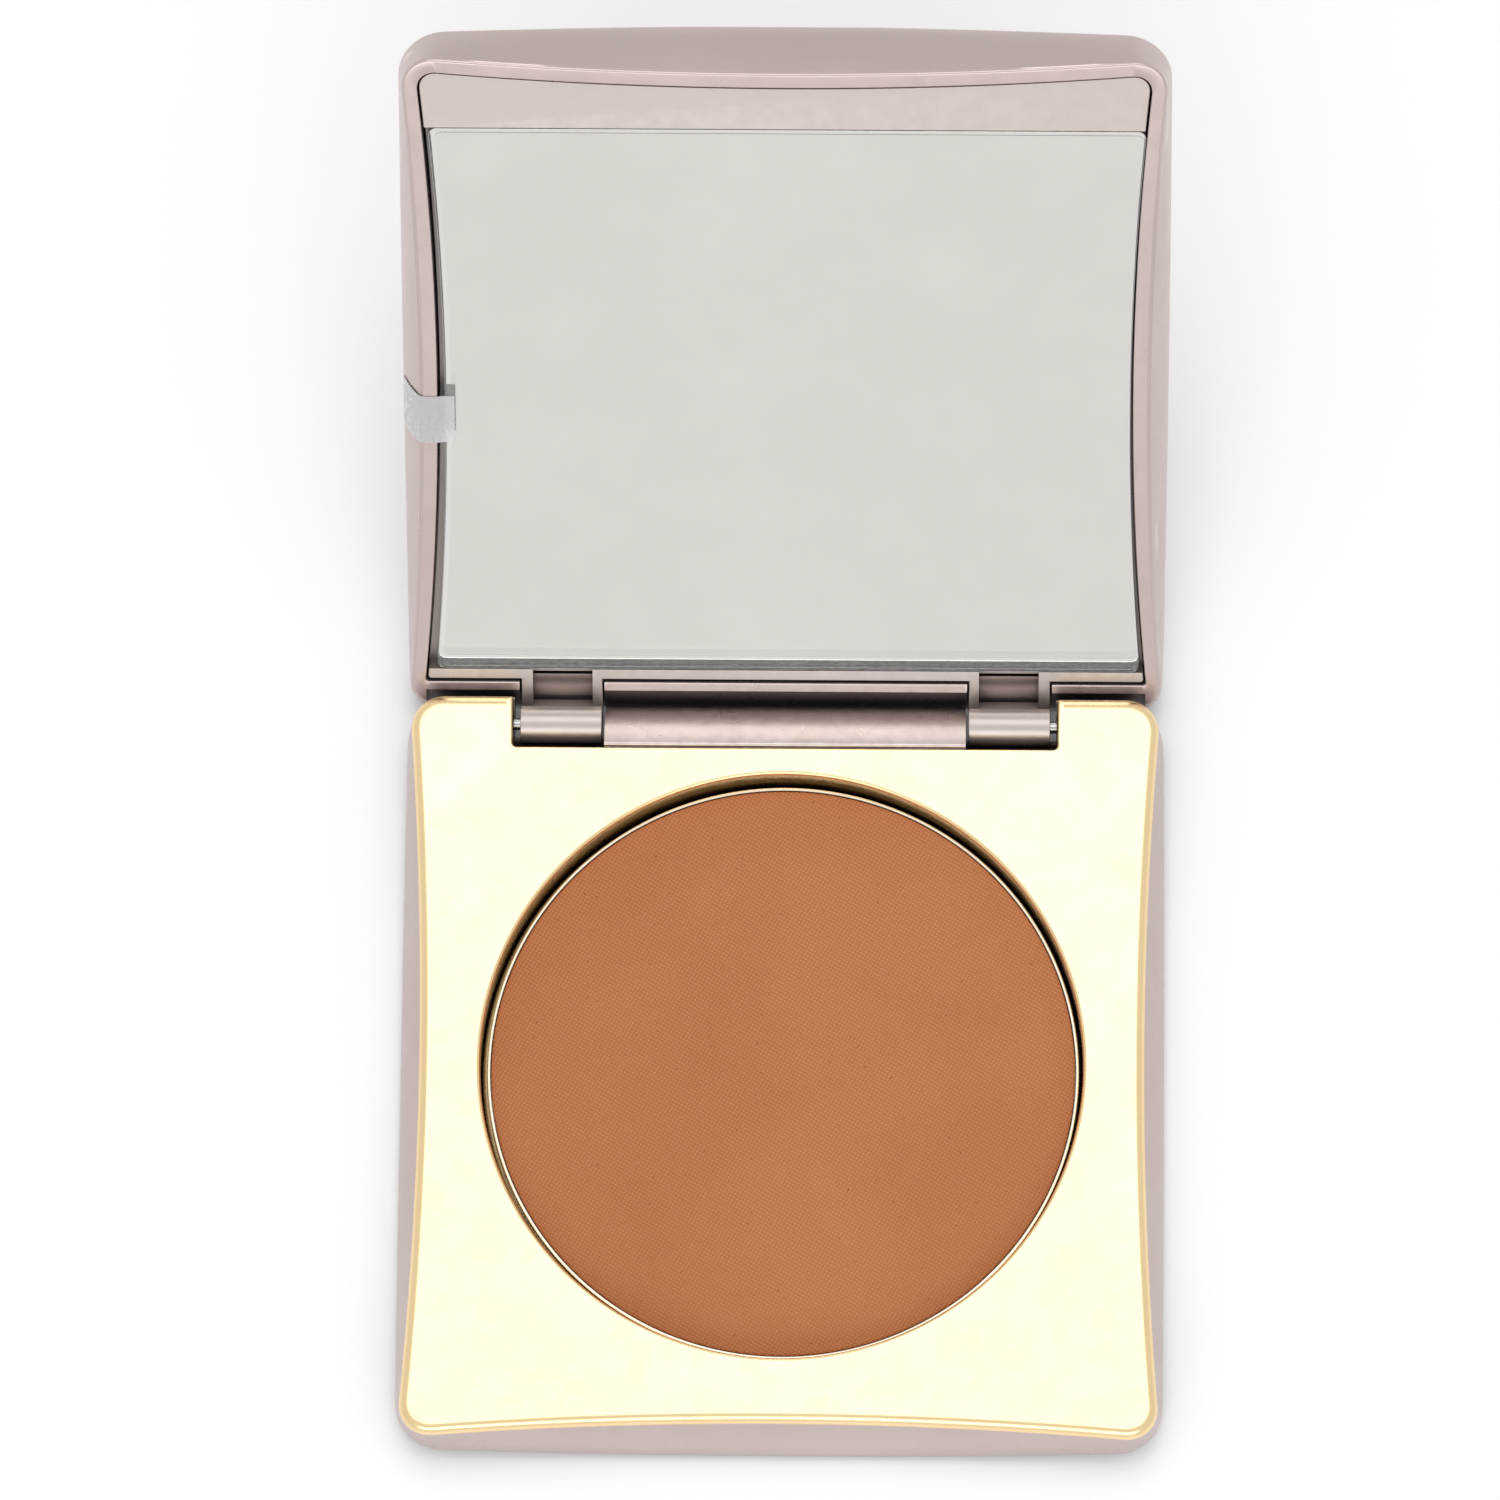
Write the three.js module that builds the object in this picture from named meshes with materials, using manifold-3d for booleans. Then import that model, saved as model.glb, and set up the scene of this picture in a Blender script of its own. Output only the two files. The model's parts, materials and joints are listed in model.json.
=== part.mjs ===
// Powder compact, open: a square "pillow" case with a mirror lid on two hinge knuckles.
// Millimetres, +Z up, the base lies flat on Z = 0 and the lid leans back behind it (+Y).
import * as THREE from 'three';
import * as BufferGeometryUtils from 'three/addons/utils/BufferGeometryUtils.js';
import Module from 'manifold-3d';

const wasm = await Module();
wasm.setup();

// ---------- driving dimensions ----------

// The base is drawn with its centre at x = 0, y = 0. PLATE_* is the gold tray plate's outline.
const PLATE_HALF_WIDTH = 37.75;
const PLATE_FRONT = -38.2;
const PLATE_REAR = 38.2;
const PLATE_RADIUS = 3.7;          // plan corner radius
const WAIST = 1.67;                // how far the parting line pulls in between the corners
const BULGE = -0.15;               // the outer faces swell by this much instead
const FLARE = 0.2;                 // the outer corners stand this far outside the plate
const REAR_FLARE = 0.3;            // the rear wall leans out less, to clear the open lid

const BASE_HEIGHT = 6.8;           // table to the top of the tray plate
const PLATE_THICKNESS = 0.95;
const SEAM = 0.1;                  // dark line between the tray plate and the base shell
const BASE_FLOOR = 1.0;
const EDGE_ROUND = 0.9;            // rounding between the outer faces and the side walls
const CORNER_LIFT = 1.5;           // the outer faces rise this far at the corners
const FLAT_HALF = 9;               // half width of the flat cross in the outer faces
const LIFT_REACH = 38;
const LIFT_POWER = 1.3;

const WELL_RADIUS = 30;
const WELL_WALL = 0.8;
const WELL_BOTTOM = 1.35;
const WELL_FLOOR = 1.85;
const PAN_RADIUS = 29.5;
const PAN_SHEET = 0.35;
const PAN_BOTTOM = 1.97;
const PAN_TOP = 4.12;
const PAN_SHIFT = new THREE.Vector2(0.13, -0.1);   // the pan sits a little off centre

const AXIS_Y = PLATE_REAR - 2.48;  // hinge axis, parallel to X
const AXIS_Z = BASE_HEIGHT - 2.3;
const OPEN_ANGLE = THREE.MathUtils.degToRad(133.2);
const NOTCH_HALF = 27.2;           // the notch that the hinge lives in
const NOTCH_FRONT = AXIS_Y - 2.85;
const NOTCH_CLEARANCE = 0.05;
const BLOCK_HALF = 18.1;           // solid block between the knuckles, with a ramp down to the rear
const BLOCK_TOP = BASE_HEIGHT - 0.15;
const RAMP_FRONT = AXIS_Y - 1.75;
const RAMP_REAR = AXIS_Y + 2.9;
const RAMP_DROP = 4.55;
const POCKET_RADIUS = 2.35;
const POCKET_OPEN_FROM = -0.7;     // the pockets are open to the table behind this, from the axis
const KNUCKLE_IN = 18.4;
const KNUCKLE_OUT = 26.55;
const KNUCKLE_RADIUS = 1.86;
const WINDOW_IN = 19.4;
const WINDOW_OUT = 25.4;
const PIN_RADIUS = 0.6;
const PIN_FROM = 19.0;
const PIN_TO = 31.0;

// Lid heights are measured up from the lid's rim plane while it is closed.
const CLOSED_GAP = 0.25;
const LID_RIM = BASE_HEIGHT + CLOSED_GAP;
const LID_HEIGHT = 6.8;
const LID_FLOOR = 1.0;
const RIM_WIDTH = 1.6;
const RIM_ROUND = 0.3;
const LID_RIM_REAR = AXIS_Y - 1.5;  // the two rear corners of the rim
const LID_BAR_REAR = AXIS_Y - 2.52; // the bar between them is set further forward
const LID_BAR_HALF = 36.1;
const LID_REAR_RADIUS = 1.6;
const INNER_REAR_RADIUS = 0.4;
const LID_NOSE_REAR = AXIS_Y + 0.6;
const LID_NOSE_HEIGHT = 2.25;
const LID_TOP_REAR = AXIS_Y - 3.5;
const LID_RIM_INNER_REAR = AXIS_Y - 3.42;
const SLOT_DEPTH = 1.9;            // slots in the lid shell that the lugs pass through
const FRAME_GAP = 0.2;
const FRAME_FACE = 0.3;
const FRAME_BACK = 3.3;
const LUG_BACK = 1.6;
const ARM_LENGTH = 5.2;            // how far each hinge lug reaches under the mirror, from the axis

const MIRROR_HALF_WIDTH = 35.25;
const MIRROR_WAIST = 1.27;
const MIRROR_TOP = AXIS_Y - 65.9;
const MIRROR_BOTTOM = AXIS_Y - 4.86;
const MIRROR_FACE = 0.25;
const MIRROR_THICKNESS = 1.75;
const MIRROR_SHIFT = 0.25;
const POCKET_DEPTH = 2.45;
const TAPE_THICKNESS = 0.3;
const FILM_THICKNESS = 0.08;
const FILM_LIFT = 0.03;
const TAB_WIDTH = 5.2;
const TAB_THICKNESS = 0.07;
const TAB_Y = AXIS_Y - 33.5;
const TAB_START = -32.8;

const MAGNET_RADIUS = 2.0;
const MAGNET_THICKNESS = 1.5;
const MAGNET_X = 28;
const MAGNET_Y = AXIS_Y - 68.5;
const MAGNET_CLEARANCE = 0.1;

const LABEL_RADIUS = 14;
const LABEL_THICKNESS = 0.12;
const LABEL_RECESS = 0.3;

const SIDE_STEPS = 8;
const CORNER_STEPS = 5;
const ROUND_STEPS = 64;
const SMALL_STEPS = 24;

// ---------- finishes ----------

const finish = (color, roughness, metalness) => () =>
  new THREE.MeshStandardMaterial({ color, roughness, metalness });
const roseMetal = finish(0xb59f9c, 0.35, 0.8);
const goldMetal = finish(0xe8cf9c, 0.28, 0.95);
const mirrorGlass = finish(0xd5d9d6, 0.03, 1);
const clearFilm = finish(0xdddcda, 0.25, 0);
const tinPlate = finish(0xd8cbb8, 0.3, 1);
const bronzePowder = finish(0xc58055, 0.9, 0);
const steel = finish(0xc4c4c4, 0.25, 1);
const magnetNickel = finish(0x9fa1a3, 0.35, 1);
const whiteTape = finish(0xeceae4, 0.8, 0);
const paper = finish(0xf1efea, 0.7, 0);

// ---------- shape helpers ----------

const mix = THREE.MathUtils.lerp;

// How far the outer faces rise towards their corners: zero over a flat cross, most at a corner.
function cornerLift(x, y) {
  const reach = (t) => Math.max(0, (Math.abs(t) - FLAT_HALF) / (LIFT_REACH - FLAT_HALF));
  return CORNER_LIFT * Math.pow(reach(x) * reach(y), LIFT_POWER);
}

// A rounded rectangle whose sides (all but the rear) pull in by waist between their corners.
function outline({ halfWidth, front, rear, radius, rearRadius, waist, rearWaist = 0, shift = 0 }) {
  const points = [];
  const radiusAt = (sy) => (sy > 0 && rearRadius !== undefined ? rearRadius : radius);
  const halfDepth = (rear - front) / 2;
  const middle = (rear + front) / 2;
  const corners = [[1, 1, 0], [-1, 1, 90], [-1, -1, 180], [1, -1, 270]];
  corners.forEach(([sx, sy, startAngle], i) => {
    const at = (cornerX, cornerY, degrees) => {
      const r = radiusAt(cornerY);
      const a = THREE.MathUtils.degToRad(degrees);
      return new THREE.Vector2(
        cornerX * (halfWidth - r) + r * Math.cos(a),
        middle + cornerY * (halfDepth - r) + r * Math.sin(a));
    };
    for (let k = 0; k <= CORNER_STEPS; k++) {
      points.push(at(sx, sy, startAngle + (90 * k) / CORNER_STEPS));
    }
    const next = at(...corners[(i + 1) % 4]);
    const last = points[points.length - 1].clone();
    for (let k = 1; k < SIDE_STEPS; k++) points.push(last.clone().lerp(next, k / SIDE_STEPS));
  });
  return points.map((p) => {
    const u = p.x / halfWidth;
    const v = (p.y - middle) / halfDepth;
    const endWaist = v < 0 ? waist : rearWaist;
    return new THREE.Vector2(p.x - waist * u * (1 - v * v) + shift, p.y - endWaist * v * (1 - u * u));
  });
}

// The same outline drawn smaller about the middle, for the rings across a flat face.
function shrink(points, factor, middle) {
  return points.map((p) => new THREE.Vector2(p.x * factor, middle + (p.y - middle) * factor));
}

const raise = (points, height) => points.map((p) => new THREE.Vector3(p.x, p.y, height(p.x, p.y)));

// A closed body from a stack of rings, closed by a fan to a centre point at each end.
function ringBody(rings, startCentre, endCentre) {
  const count = rings[0].length;
  const vertices = [...rings.flat(), startCentre, endCentre];
  const start = vertices.length - 2;
  const index = [];
  for (let k = 0; k < count; k++) {
    const n = (k + 1) % count;
    index.push(start, n, k);
    for (let r = 0; r + 1 < rings.length; r++) {
      const a = r * count;
      const b = a + count;
      index.push(a + k, a + n, b + n, a + k, b + n, b + k);
    }
    const top = (rings.length - 1) * count;
    index.push(start + 1, top + k, top + n);
  }
  const geometry = new THREE.BufferGeometry();
  const positions = new Float32Array(vertices.flatMap((v) => [v.x, v.y, v.z]));
  geometry.setAttribute('position', new THREE.BufferAttribute(positions, 3));
  geometry.setIndex(index);
  return geometry;
}

function plate(points, bottom, top, middle) {
  const low = raise(points, () => bottom);
  const high = raise(points, () => top);
  return ringBody([low, high], new THREE.Vector3(0, middle, bottom), new THREE.Vector3(0, middle, top));
}

function box(x0, x1, y0, y1, z0, z1) {
  const geometry = new THREE.BoxGeometry(x1 - x0, y1 - y0, z1 - z0);
  return geometry.translate((x0 + x1) / 2, (y0 + y1) / 2, (z0 + z1) / 2);
}

// Cylinder along X between x0 and x1, centred on the hinge axis.
function axisCylinder(radius, x0, x1) {
  const geometry = new THREE.CylinderGeometry(radius, radius, x1 - x0, SMALL_STEPS);
  return geometry.rotateZ(Math.PI / 2).translate((x0 + x1) / 2, AXIS_Y, AXIS_Z);
}

// Upright disc between z0 and z1.
function disc(radius, z0, z1, x = 0, y = 0, steps = SMALL_STEPS) {
  const geometry = new THREE.CylinderGeometry(radius, radius, z1 - z0, steps);
  return geometry.rotateX(Math.PI / 2).translate(x, y, (z0 + z1) / 2);
}

// Solid of revolution about +Z from [radius, height] points that start and end on the axis.
function turned(profile, steps = ROUND_STEPS) {
  const points = profile.map(([r, z]) => new THREE.Vector2(r, z));
  return new THREE.LatheGeometry(points, steps).rotateX(Math.PI / 2);
}

function toSolid(geometry) {
  const bare = geometry.clone();
  bare.deleteAttribute('normal');
  bare.deleteAttribute('uv');
  const merged = BufferGeometryUtils.mergeVertices(bare, 1e-5);
  const mesh = new wasm.Mesh({
    numProp: 3,
    vertProperties: new Float32Array(merged.attributes.position.array),
    triVerts: new Uint32Array(merged.index.array),
  });
  const solid = new wasm.Manifold(mesh);
  return solid.volume() < 0 ? toSolid(flipped(merged)) : solid;
}

function flipped(geometry) {
  const copy = geometry.clone();
  const order = copy.index.array;
  for (let i = 0; i < order.length; i += 3) [order[i], order[i + 1]] = [order[i + 1], order[i]];
  return copy;
}

function toGeometry(solid) {
  const mesh = solid.getMesh();
  const geometry = new THREE.BufferGeometry();
  geometry.setAttribute('position', new THREE.BufferAttribute(new Float32Array(mesh.vertProperties), 3));
  geometry.setIndex(new THREE.BufferAttribute(new Uint32Array(mesh.triVerts), 1));
  return geometry;
}

function joined(base, added, cut) {
  let solid = toSolid(base);
  for (const geometry of added) solid = solid.add(toSolid(geometry));
  for (const geometry of cut) solid = solid.subtract(toSolid(geometry));
  return toGeometry(solid);
}

const bothSides = (make) => [-1, 1].map((side) => make(side));

// A box or cylinder builder gets its x range mirrored for the left side.
const mirrored = (side, x0, x1) => (side > 0 ? [x0, x1] : [-x1, -x0]);

const compact = new THREE.Group();
const base = new THREE.Group();
const lid = new THREE.Group();

function addPiece(group, name, geometry, makeMaterial) {
  const mesh = new THREE.Mesh(geometry, makeMaterial());
  mesh.name = name;
  group.add(mesh);
}

// ---------- base ----------

// Outer wall of the base: flare 0 is the seam under the tray plate, 1 is the widest line.
function baseWall(flare) {
  return {
    halfWidth: PLATE_HALF_WIDTH + FLARE * flare,
    front: PLATE_FRONT - FLARE * flare,
    rear: PLATE_REAR + REAR_FLARE * flare,
    radius: PLATE_RADIUS + 0.9 * flare,
    waist: mix(WAIST, BULGE, flare),
  };
}

function inset(spec, by) {
  return {
    ...spec,
    halfWidth: spec.halfWidth - by,
    front: spec.front + by,
    rear: spec.rear - by,
    radius: Math.max(0.8, spec.radius - by),
    rearRadius: spec.rearRadius === undefined ? undefined : Math.max(0.3, spec.rearRadius - by),
  };
}

function baseShellBody() {
  const seamHeight = BASE_HEIGHT - PLATE_THICKNESS - SEAM;
  const height = (z) => (x, y) => z + cornerLift(x, y) * (1 - z / seamHeight);
  const rings = [];
  const bottomEdge = outline(inset(baseWall(1), EDGE_ROUND));
  for (const factor of [0.3, 0.6, 0.85, 1]) rings.push(raise(shrink(bottomEdge, factor, 0), height(0)));
  for (const angle of [30, 60, 90]) {
    const a = THREE.MathUtils.degToRad(angle);
    const spec = inset(baseWall(1), EDGE_ROUND * (1 - Math.sin(a)));
    rings.push(raise(outline(spec), height(EDGE_ROUND * (1 - Math.cos(a)))));
  }
  for (const part of [0.35, 0.65, 0.85, 1]) {
    const z = mix(EDGE_ROUND, seamHeight, part);
    rings.push(raise(outline(baseWall(1 - part ** 1.7)), () => 0).map((p) => p.setZ(height(z)(p.x, p.y))));
  }
  const cavity = { ...inset(baseWall(0), 1.4), rear: AXIS_Y - 4.35 };
  const cavityOutline = outline(cavity);
  rings.push(raise(cavityOutline, () => seamHeight));
  const cavityMiddle = (cavity.front + cavity.rear) / 2;
  const floor = (x, y) => BASE_FLOOR + cornerLift(x, y);
  for (const factor of [1, 0.8, 0.5]) rings.push(raise(shrink(cavityOutline, factor, cavityMiddle), floor));
  return ringBody(rings, new THREE.Vector3(0, 0, 0), new THREE.Vector3(0, cavityMiddle, BASE_FLOOR));
}

// Side view of what is cut away above the block between the knuckles: a flat lip, then a ramp.
function rampCut() {
  const top = BASE_HEIGHT + 5;
  const slope = RAMP_DROP / (RAMP_REAR - RAMP_FRONT);
  const far = PLATE_REAR + 5;
  const shape = new THREE.Shape();
  shape.moveTo(NOTCH_FRONT - 2, BLOCK_TOP);
  shape.lineTo(RAMP_FRONT, BLOCK_TOP);
  shape.lineTo(far, BLOCK_TOP - slope * (far - RAMP_FRONT));
  shape.lineTo(far, top);
  shape.lineTo(NOTCH_FRONT - 2, top);
  shape.closePath();
  return shape;
}

// Extrudes a side view, drawn with +Y as its x and +Z as its y, along X from x0.
function across(shape, x0, width) {
  const geometry = new THREE.ExtrudeGeometry(shape, { depth: width, bevelEnabled: false, curveSegments: 10 });
  const turn = new THREE.Matrix4().set(0, 0, 1, 0, 1, 0, 0, 0, 0, 1, 0, 0, 0, 0, 0, 1);
  return geometry.applyMatrix4(turn).translate(x0, 0, 0);
}

// Everything that the hinge needs taken out of the base shell.
function hingeCuts() {
  const far = PLATE_REAR + 5;
  const above = BASE_HEIGHT + 5;
  const cuts = [across(rampCut(), -BLOCK_HALF, 2 * BLOCK_HALF)];
  for (const side of [-1, 1]) {
    const [x0, x1] = mirrored(side, BLOCK_HALF, NOTCH_HALF);
    cuts.push(box(x0, x1, NOTCH_FRONT, far, AXIS_Z, above));
    cuts.push(axisCylinder(POCKET_RADIUS, x0, x1));
    cuts.push(box(x0, x1, AXIS_Y + POCKET_OPEN_FROM, far, -1, above));
    const [p0, p1] = mirrored(side, NOTCH_HALF - 1, PIN_TO + 0.2);
    cuts.push(axisCylinder(PIN_RADIUS + 0.06, p0, p1));
  }
  return cuts;
}

function makeBaseShell() {
  const labelRecess = disc(LABEL_RADIUS + 0.3, -1, LABEL_RECESS, 0, 0, ROUND_STEPS);
  const blockFront = NOTCH_FRONT + NOTCH_CLEARANCE;
  const block = box(-BLOCK_HALF, BLOCK_HALF, blockFront, RAMP_FRONT + 1, AXIS_Z - 1, BASE_HEIGHT);
  const shell = joined(baseShellBody(), [block], [...hingeCuts(), labelRecess]);
  addPiece(base, 'base_shell', shell, roseMetal);
}

function makeTray() {
  const bottom = BASE_HEIGHT - PLATE_THICKNESS;
  const rings = [raise(outline(baseWall(0)), () => bottom)];
  for (const angle of [30, 60, 90]) {
    const a = THREE.MathUtils.degToRad(angle);
    const pull = PLATE_THICKNESS * (1 - Math.cos(a));
    const spec = { ...inset(baseWall(0), pull), rear: PLATE_REAR - 1.4 * pull };
    rings.push(raise(outline(spec), () => bottom + PLATE_THICKNESS * Math.sin(a)));
  }
  const body = ringBody(rings, new THREE.Vector3(0, 0, bottom), new THREE.Vector3(0, 0, BASE_HEIGHT));
  const cup = disc(WELL_RADIUS + WELL_WALL, WELL_BOTTOM, bottom + 0.3, 0, 0, ROUND_STEPS);
  const bore = turned([
    [0, WELL_FLOOR], [WELL_RADIUS, WELL_FLOOR], [WELL_RADIUS, BASE_HEIGHT - 0.4],
    [WELL_RADIUS + 0.12, BASE_HEIGHT - 0.12], [WELL_RADIUS + 0.4, BASE_HEIGHT],
    [WELL_RADIUS + 0.4, BASE_HEIGHT + 1], [0, BASE_HEIGHT + 1],
  ]);
  const notch = box(-NOTCH_HALF, NOTCH_HALF, NOTCH_FRONT, PLATE_REAR + 5, bottom - 1, BASE_HEIGHT + 1);
  const bossBottom = bottom - MAGNET_THICKNESS - 0.7;
  const bosses = bothSides((s) =>
    disc(MAGNET_RADIUS + 0.8, bossBottom, bottom + 0.2, s * MAGNET_X, MAGNET_Y));
  const sockets = bothSides((s) =>
    disc(MAGNET_RADIUS + MAGNET_CLEARANCE, bossBottom - 1, bottom, s * MAGNET_X, MAGNET_Y));
  addPiece(base, 'inner_tray', joined(body, [cup, ...bosses], [bore, notch, ...sockets]), goldMetal);
}

function makePowder() {
  const place = (geometry) => geometry.translate(PAN_SHIFT.x, PAN_SHIFT.y, 0);
  const pan = turned([
    [0, PAN_BOTTOM], [PAN_RADIUS - 0.4, PAN_BOTTOM], [PAN_RADIUS, PAN_BOTTOM + 0.4],
    [PAN_RADIUS, PAN_TOP], [PAN_RADIUS - PAN_SHEET, PAN_TOP],
    [PAN_RADIUS - PAN_SHEET, PAN_BOTTOM + PAN_SHEET], [0, PAN_BOTTOM + PAN_SHEET],
  ]);
  const cakeRadius = PAN_RADIUS - PAN_SHEET - 0.06;
  const cakeBottom = PAN_BOTTOM + PAN_SHEET + 0.05;
  const cakeTop = PAN_TOP + 0.06;
  const cake = turned([
    [0, cakeBottom], [cakeRadius, cakeBottom], [cakeRadius, cakeTop - 0.2],
    [cakeRadius - 0.25, cakeTop], [0, cakeTop],
  ]);
  const glue = disc(24, WELL_FLOOR + 0.02, PAN_BOTTOM - 0.02, 0, 0, ROUND_STEPS);
  addPiece(base, 'powder_pan', place(pan), tinPlate);
  addPiece(base, 'pressed_powder', place(cake), bronzePowder);
  addPiece(base, 'pan_adhesive_pad', place(glue), whiteTape);
}

function makeBaseTrim() {
  const labelTop = LABEL_RECESS - 0.02;
  const label = disc(LABEL_RADIUS, labelTop - LABEL_THICKNESS, labelTop, 0, 0, ROUND_STEPS);
  addPiece(base, 'bottom_label', label, paper);
  const top = BASE_HEIGHT - PLATE_THICKNESS - MAGNET_CLEARANCE;
  for (const side of [-1, 1]) {
    const hand = side < 0 ? 'left' : 'right';
    const magnet = disc(MAGNET_RADIUS, top - MAGNET_THICKNESS, top, side * MAGNET_X, MAGNET_Y);
    addPiece(base, `base_magnet_${hand}`, magnet, magnetNickel);
    const [x0, x1] = mirrored(side, PIN_FROM, PIN_TO);
    addPiece(base, `hinge_pin_${hand}`, axisCylinder(PIN_RADIUS, x0, x1), steel);
  }
}

// ---------- lid, drawn closed ----------

// Rear line of the lid's outside at a height above the rim: it leans out to a nose low down,
// which clears the base when the lid swings over, and is bevelled back above it.
function lidRear(height) {
  if (height < LID_NOSE_HEIGHT) return mix(LID_RIM_REAR, LID_NOSE_REAR, height / LID_NOSE_HEIGHT);
  const above = (height - LID_NOSE_HEIGHT) / (LID_HEIGHT - LID_NOSE_HEIGHT);
  return mix(LID_NOSE_REAR, LID_TOP_REAR, above);
}

function lidWall(flare, height) {
  const rearRadius = LID_REAR_RADIUS + 2.5 * flare;
  return { ...baseWall(flare), rear: lidRear(height), rearRadius, rearWaist: 0 };
}

function lidShellBody() {
  const height = (h) => (x, y) => LID_RIM + h - cornerLift(x, y) * (h / LID_HEIGHT);
  const middle = (PLATE_FRONT + LID_TOP_REAR) / 2;
  const rings = [];
  const topEdge = outline(inset(lidWall(1, LID_HEIGHT), EDGE_ROUND));
  for (const factor of [0.3, 0.6, 0.85, 1]) {
    rings.push(raise(shrink(topEdge, factor, middle), height(LID_HEIGHT)));
  }
  for (const angle of [30, 60, 90]) {
    const a = THREE.MathUtils.degToRad(angle);
    const h = LID_HEIGHT - EDGE_ROUND * (1 - Math.cos(a));
    rings.push(raise(outline(inset(lidWall(1, h), EDGE_ROUND * (1 - Math.sin(a)))), height(h)));
  }
  const wallTop = LID_HEIGHT - EDGE_ROUND;
  for (const h of [4.4, 3.2, 2.5, 2.0, 1.1, RIM_ROUND]) {
    const flare = 1 - ((wallTop - h) / wallTop) ** 1.7;
    rings.push(raise(outline(lidWall(flare, h)), height(h)));
  }
  const rim = lidWall(0, 0);
  rings.push(raise(outline(inset(rim, RIM_ROUND)), height(0)));
  const inner = { ...inset(rim, RIM_WIDTH), rear: LID_RIM_INNER_REAR, rearRadius: INNER_REAR_RADIUS };
  rings.push(raise(outline(inner), () => LID_RIM));
  const innerOutline = outline(inner);
  const innerMiddle = (inner.front + inner.rear) / 2;
  const ceiling = (x, y) => LID_RIM + LID_HEIGHT - LID_FLOOR - cornerLift(x, y);
  for (const factor of [1, 0.8, 0.5]) rings.push(raise(shrink(innerOutline, factor, innerMiddle), ceiling));
  const outerCentre = new THREE.Vector3(0, middle, LID_RIM + LID_HEIGHT);
  const innerCentre = new THREE.Vector3(0, innerMiddle, LID_RIM + LID_HEIGHT - LID_FLOOR);
  return ringBody(rings, outerCentre, innerCentre);
}

// What is cut away behind the rim's rear bar, between the two rear corners.
function barCut() {
  const shape = new THREE.Shape();
  shape.moveTo(LID_BAR_REAR, LID_RIM - 1);
  shape.lineTo(AXIS_Y + 4, LID_RIM - 1);
  shape.lineTo(AXIS_Y + 4, LID_RIM + LID_NOSE_HEIGHT);
  shape.lineTo(LID_NOSE_REAR, LID_RIM + LID_NOSE_HEIGHT);
  shape.lineTo(LID_BAR_REAR, LID_RIM);
  shape.closePath();
  return across(shape, -LID_BAR_HALF, 2 * LID_BAR_HALF);
}

function makeLidShell() {
  const slots = bothSides((side) => {
    const [x0, x1] = mirrored(side, KNUCKLE_IN - 0.2, KNUCKLE_OUT + 0.2);
    return box(x0, x1, LID_RIM_INNER_REAR - 0.2, AXIS_Y + 4, LID_RIM - 1, LID_RIM + SLOT_DEPTH);
  });
  addPiece(lid, 'lid_shell', joined(lidShellBody(), [], [barCut(), ...slots]), roseMetal);
}

// Side view of one hinge lug: a flat arm from the frame that hooks over and down to its barrel.
function lugProfile() {
  const faceZ = LID_RIM + FRAME_FACE - AXIS_Z;
  const backZ = LID_RIM + LUG_BACK - AXIS_Z;
  const shape = new THREE.Shape();
  shape.moveTo(-ARM_LENGTH, faceZ);
  shape.lineTo(-ARM_LENGTH, backZ);
  shape.lineTo(0, backZ);
  shape.absarc(0, backZ - KNUCKLE_RADIUS, KNUCKLE_RADIUS, Math.PI / 2, 0, true);
  shape.lineTo(KNUCKLE_RADIUS, 0);
  shape.absarc(0, 0, KNUCKLE_RADIUS, 0, -Math.PI * 1.5, true);
  shape.lineTo(0, faceZ);
  shape.closePath();
  return shape;
}

function makeLidFrame() {
  const spec = inset(lidWall(0, 0), RIM_WIDTH + FRAME_GAP);
  spec.rear = LID_RIM_INNER_REAR - FRAME_GAP;
  spec.rearRadius = INNER_REAR_RADIUS;
  const middle = (spec.front + spec.rear) / 2;
  const body = plate(outline(spec), LID_RIM + FRAME_FACE, LID_RIM + FRAME_BACK, middle);
  const lugs = bothSides((side) => {
    const [x0, x1] = mirrored(side, KNUCKLE_IN, KNUCKLE_OUT);
    return across(lugProfile(), x0, x1 - x0).translate(0, AXIS_Y, AXIS_Z);
  });
  const pocket = box(-40, 40, MIRROR_TOP - 0.1, MIRROR_BOTTOM + 0.1, LID_RIM - 1, LID_RIM + POCKET_DEPTH);
  const cuts = [pocket];
  for (const side of [-1, 1]) {
    const [w0, w1] = mirrored(side, WINDOW_IN, WINDOW_OUT);
    const windowBack = LID_RIM + LUG_BACK + 0.4;
    cuts.push(box(w0, w1, MIRROR_BOTTOM, AXIS_Y - 0.5, AXIS_Z + KNUCKLE_RADIUS + 0.1, windowBack));
    const [b0, b1] = mirrored(side, KNUCKLE_IN - 1, KNUCKLE_OUT + 1);
    cuts.push(axisCylinder(PIN_RADIUS + 0.1, b0, b1));
    const back = LID_RIM + FRAME_BACK;
    const socketTop = back - MAGNET_THICKNESS - 2 * MAGNET_CLEARANCE;
    cuts.push(disc(MAGNET_RADIUS + MAGNET_CLEARANCE, socketTop, back + 1, side * MAGNET_X, MAGNET_Y));
  }
  addPiece(lid, 'lid_inner_frame', joined(body, lugs, cuts), roseMetal);
}

const mirrorSpec = {
  halfWidth: MIRROR_HALF_WIDTH,
  front: MIRROR_TOP,
  rear: MIRROR_BOTTOM,
  radius: 0.9,
  waist: MIRROR_WAIST,
  shift: MIRROR_SHIFT,
};

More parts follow.
